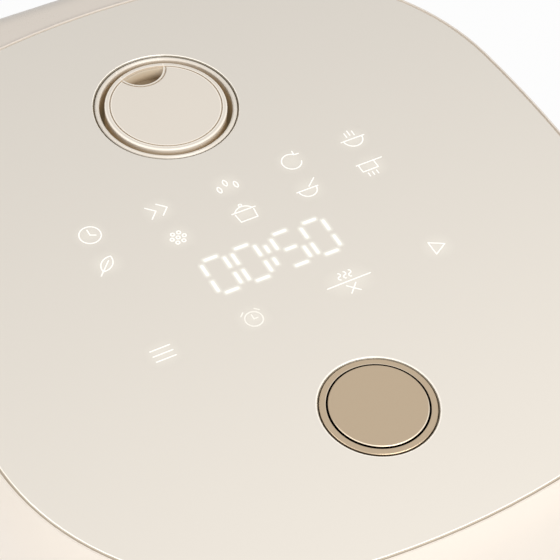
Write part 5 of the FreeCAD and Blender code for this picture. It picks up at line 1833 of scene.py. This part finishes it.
    def _stroke(self, middle: Spot, stroke: Stroke) -> bpy.types.Object:
        """Model one stroke of a sign.

        Args:
            middle: Middle of the sign.
            stroke: The stroke.

        Returns:
            The stroke as a thin solid.
        """
        if isinstance(stroke, Arc):
            x, y = Vector(middle) + Vector(stroke.centre) * self.sign_scale
            radius = stroke.radius * self.sign_scale
            flat = Bench.arc(self._level(x, y, -self.sunk), radius, self.stroke, stroke.first, stroke.last)
        else:
            start, end = (Vector(spot) * self.sign_scale for spot in (stroke.start, stroke.end))
            run = end - start
            x, y = Vector(middle) + (start + end) / 2
            length = run.length + self.stroke
            turn = math.atan2(run.y, run.x)
            corner = self.stroke * self.round_share
            flat = Bench.sheet(self._level(x, y, -self.sunk), length, self.stroke, turn, corner)
        return Bench.thicken(flat, self.sunk + self.inlay)


@dataclass(frozen=True)
class Lamp:
    """A soft lamp, with its places and sizes in metres.

    Attributes:
        name: Name of the lamp.
        place: Where it hangs.
        target: Where it points.
        size: Its width and height.
        power: Its power in watts.
        colour: Colour of its light.
    """

    name: str
    place: Place
    target: Place
    size: Spot
    power: float
    colour: Colour = (1.0, 0.985, 0.96)

    def hang(self) -> None:
        """Put the lamp into the scene."""
        light = bpy.data.lights.new(self.name, "AREA")
        light.shape = "RECTANGLE"
        light.size, light.size_y = self.size
        light.energy = self.power
        light.color = self.colour
        holder = bpy.data.objects.new(self.name, light)
        holder.location = self.place
        way = Vector(self.target) - Vector(self.place)
        holder.rotation_euler = way.to_track_quat("-Z", "Y").to_euler()
        bpy.context.scene.collection.objects.link(holder)


@dataclass
class Studio:
    """Floor, light and camera.

    Attributes:
        aim: Point that the camera looks at, in millimetres.
        distance: Distance of the camera from it, in millimetres.
        azimuth: Angle of the camera to the left of straight in front, in degrees.
        elevation: Angle of the camera over the horizon, in degrees.
        roll: Turn of the picture, in degrees.
        lens: Focal length in millimetres.
        film: Width of the camera's frame in millimetres.
        clip: Nearest and farthest distance that the camera sees, in metres.
        sky: Strength of the even light from all round.
        sky_colour: Colour of that light.
        floor_size: Size of the floor in metres.
        floor_tones: Colours between which the floor drifts.
        floor_clouds: Layer that the drift follows.
        floor_white: How far the floor looks plain white.
        lamps: The large soft lamp over the front and the low one on the left.
    """

    aim: Place = (-2.78, -25.91, 206.0)
    distance: float = 720.3
    azimuth: float = 32.207
    elevation: float = 49.345
    roll: float = 4.49
    lens: float = 142.61
    film: float = 36.0
    clip: Spot = (0.01, 50.0)
    sky: float = 0.47
    sky_colour: Colour = (1.0, 0.995, 0.985)
    floor_size: float = 12.0
    floor_tones: tuple[Colour, Colour] = ((0.86, 0.86, 0.85), (0.9, 0.9, 0.89))
    floor_clouds: Layer = Layer(300.0)
    floor_white: float = 0.94
    lamps: tuple[Lamp, ...] = (
        Lamp("front_softbox", (0.12, -0.62, 0.78), (0.0, -0.03, 0.2), (0.7, 0.5), 5.95),
        Lamp("side_softbox", (-0.85, -0.12, 0.38), (-0.12, -0.04, 0.2), (0.6, 0.3), 2.9),
    )

    def build(self) -> None:
        """Lay the floor, light the scene and set up the camera."""
        self._floor()
        self._sky()
        for lamp in self.lamps:
            lamp.hang()
        self._camera()

    @staticmethod
    def _white_to_the_eye(shader: Shader) -> Wire:
        """Return 1 for rays from the camera and for rays that metal or glass sends on, else 0.

        Args:
            shader: Shader of the floor or the sky.

        Returns:
            The mask.
        """
        ray = shader.node("LightPath").socket.node
        kinds = ("Camera", "Glossy", "Transmission")
        return sum(Wire(shader, ray.outputs[f"Is {kind} Ray"]) for kind in kinds) > 0.5

    def _floor(self) -> None:
        """Lay a wide pale floor that looks white and keeps a faint shadow."""
        Bench.clear()
        bpy.ops.mesh.primitive_plane_add(size=self.floor_size)
        floor = Bench.join("floor", [bpy.context.object])
        material = bpy.data.materials.new("pale_floor")
        material.use_nodes = True
        shader = Shader(material.node_tree)
        tone = shader.blend(self.floor_clouds.noise(shader), *self.floor_tones)
        matt = shader.node("BsdfDiffuse", inputs={"Color": tone})
        white = shader.node("Emission", inputs={"Color": WHITE, "Strength": 1.0})
        share = self._white_to_the_eye(shader) * self.floor_white
        shader.finish(shader.node("MixShader", inputs={0: share, 1: matt, 2: white}))
        floor.data.materials.append(material)

    def _sky(self) -> None:
        """Surround the scene with even light that looks white."""
        world = bpy.data.worlds.new("studio")
        world.use_nodes = True
        bpy.context.scene.world = world
        shader = Shader(world.node_tree, "OutputWorld")
        dim = shader.node("Background", inputs={"Color": self.sky_colour, "Strength": self.sky})
        white = shader.node("Background", inputs={"Color": WHITE, "Strength": 1.0})
        share = self._white_to_the_eye(shader)
        shader.finish(shader.node("MixShader", inputs={0: share, 1: dim, 2: white}))

    def _camera(self) -> None:
        """Set the camera where the photograph was taken from."""
        turn = Matrix.Rotation(math.radians(-self.azimuth), 3, "Z")
        tilt = Matrix.Rotation(math.radians(90 - self.elevation), 3, "X")
        roll = Matrix.Rotation(math.radians(self.roll), 3, "Z")
        data = bpy.data.cameras.new("camera")
        data.lens = self.lens
        data.sensor_width = self.film
        data.clip_start, data.clip_end = self.clip
        camera = bpy.data.objects.new("camera", data)
        back = turn @ tilt @ Vector((0.0, 0.0, self.distance))
        camera.location = (Vector(self.aim) + back) * MM
        camera.rotation_euler = (turn @ tilt @ roll).to_euler()
        bpy.context.scene.collection.objects.link(camera)
        bpy.context.scene.camera = camera
        bpy.context.scene.view_settings.view_transform = "Standard"


def main() -> None:
    """Build and dress every sub-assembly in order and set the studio."""
    logging.basicConfig(level=logging.INFO, format="%(name)s: %(message)s")
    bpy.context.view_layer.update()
    groups = [
        Body("base"),
        Hinge("base"),
        CookingWell("base"),
        Lid("lid"),
        SteamVent("steam_valve"),
        ReleaseButton("button"),
        Display("lid"),
    ]
    for group in groups:
        group.build()
        group.dress()
    Studio().build()


if __name__ == "__main__":
    main()
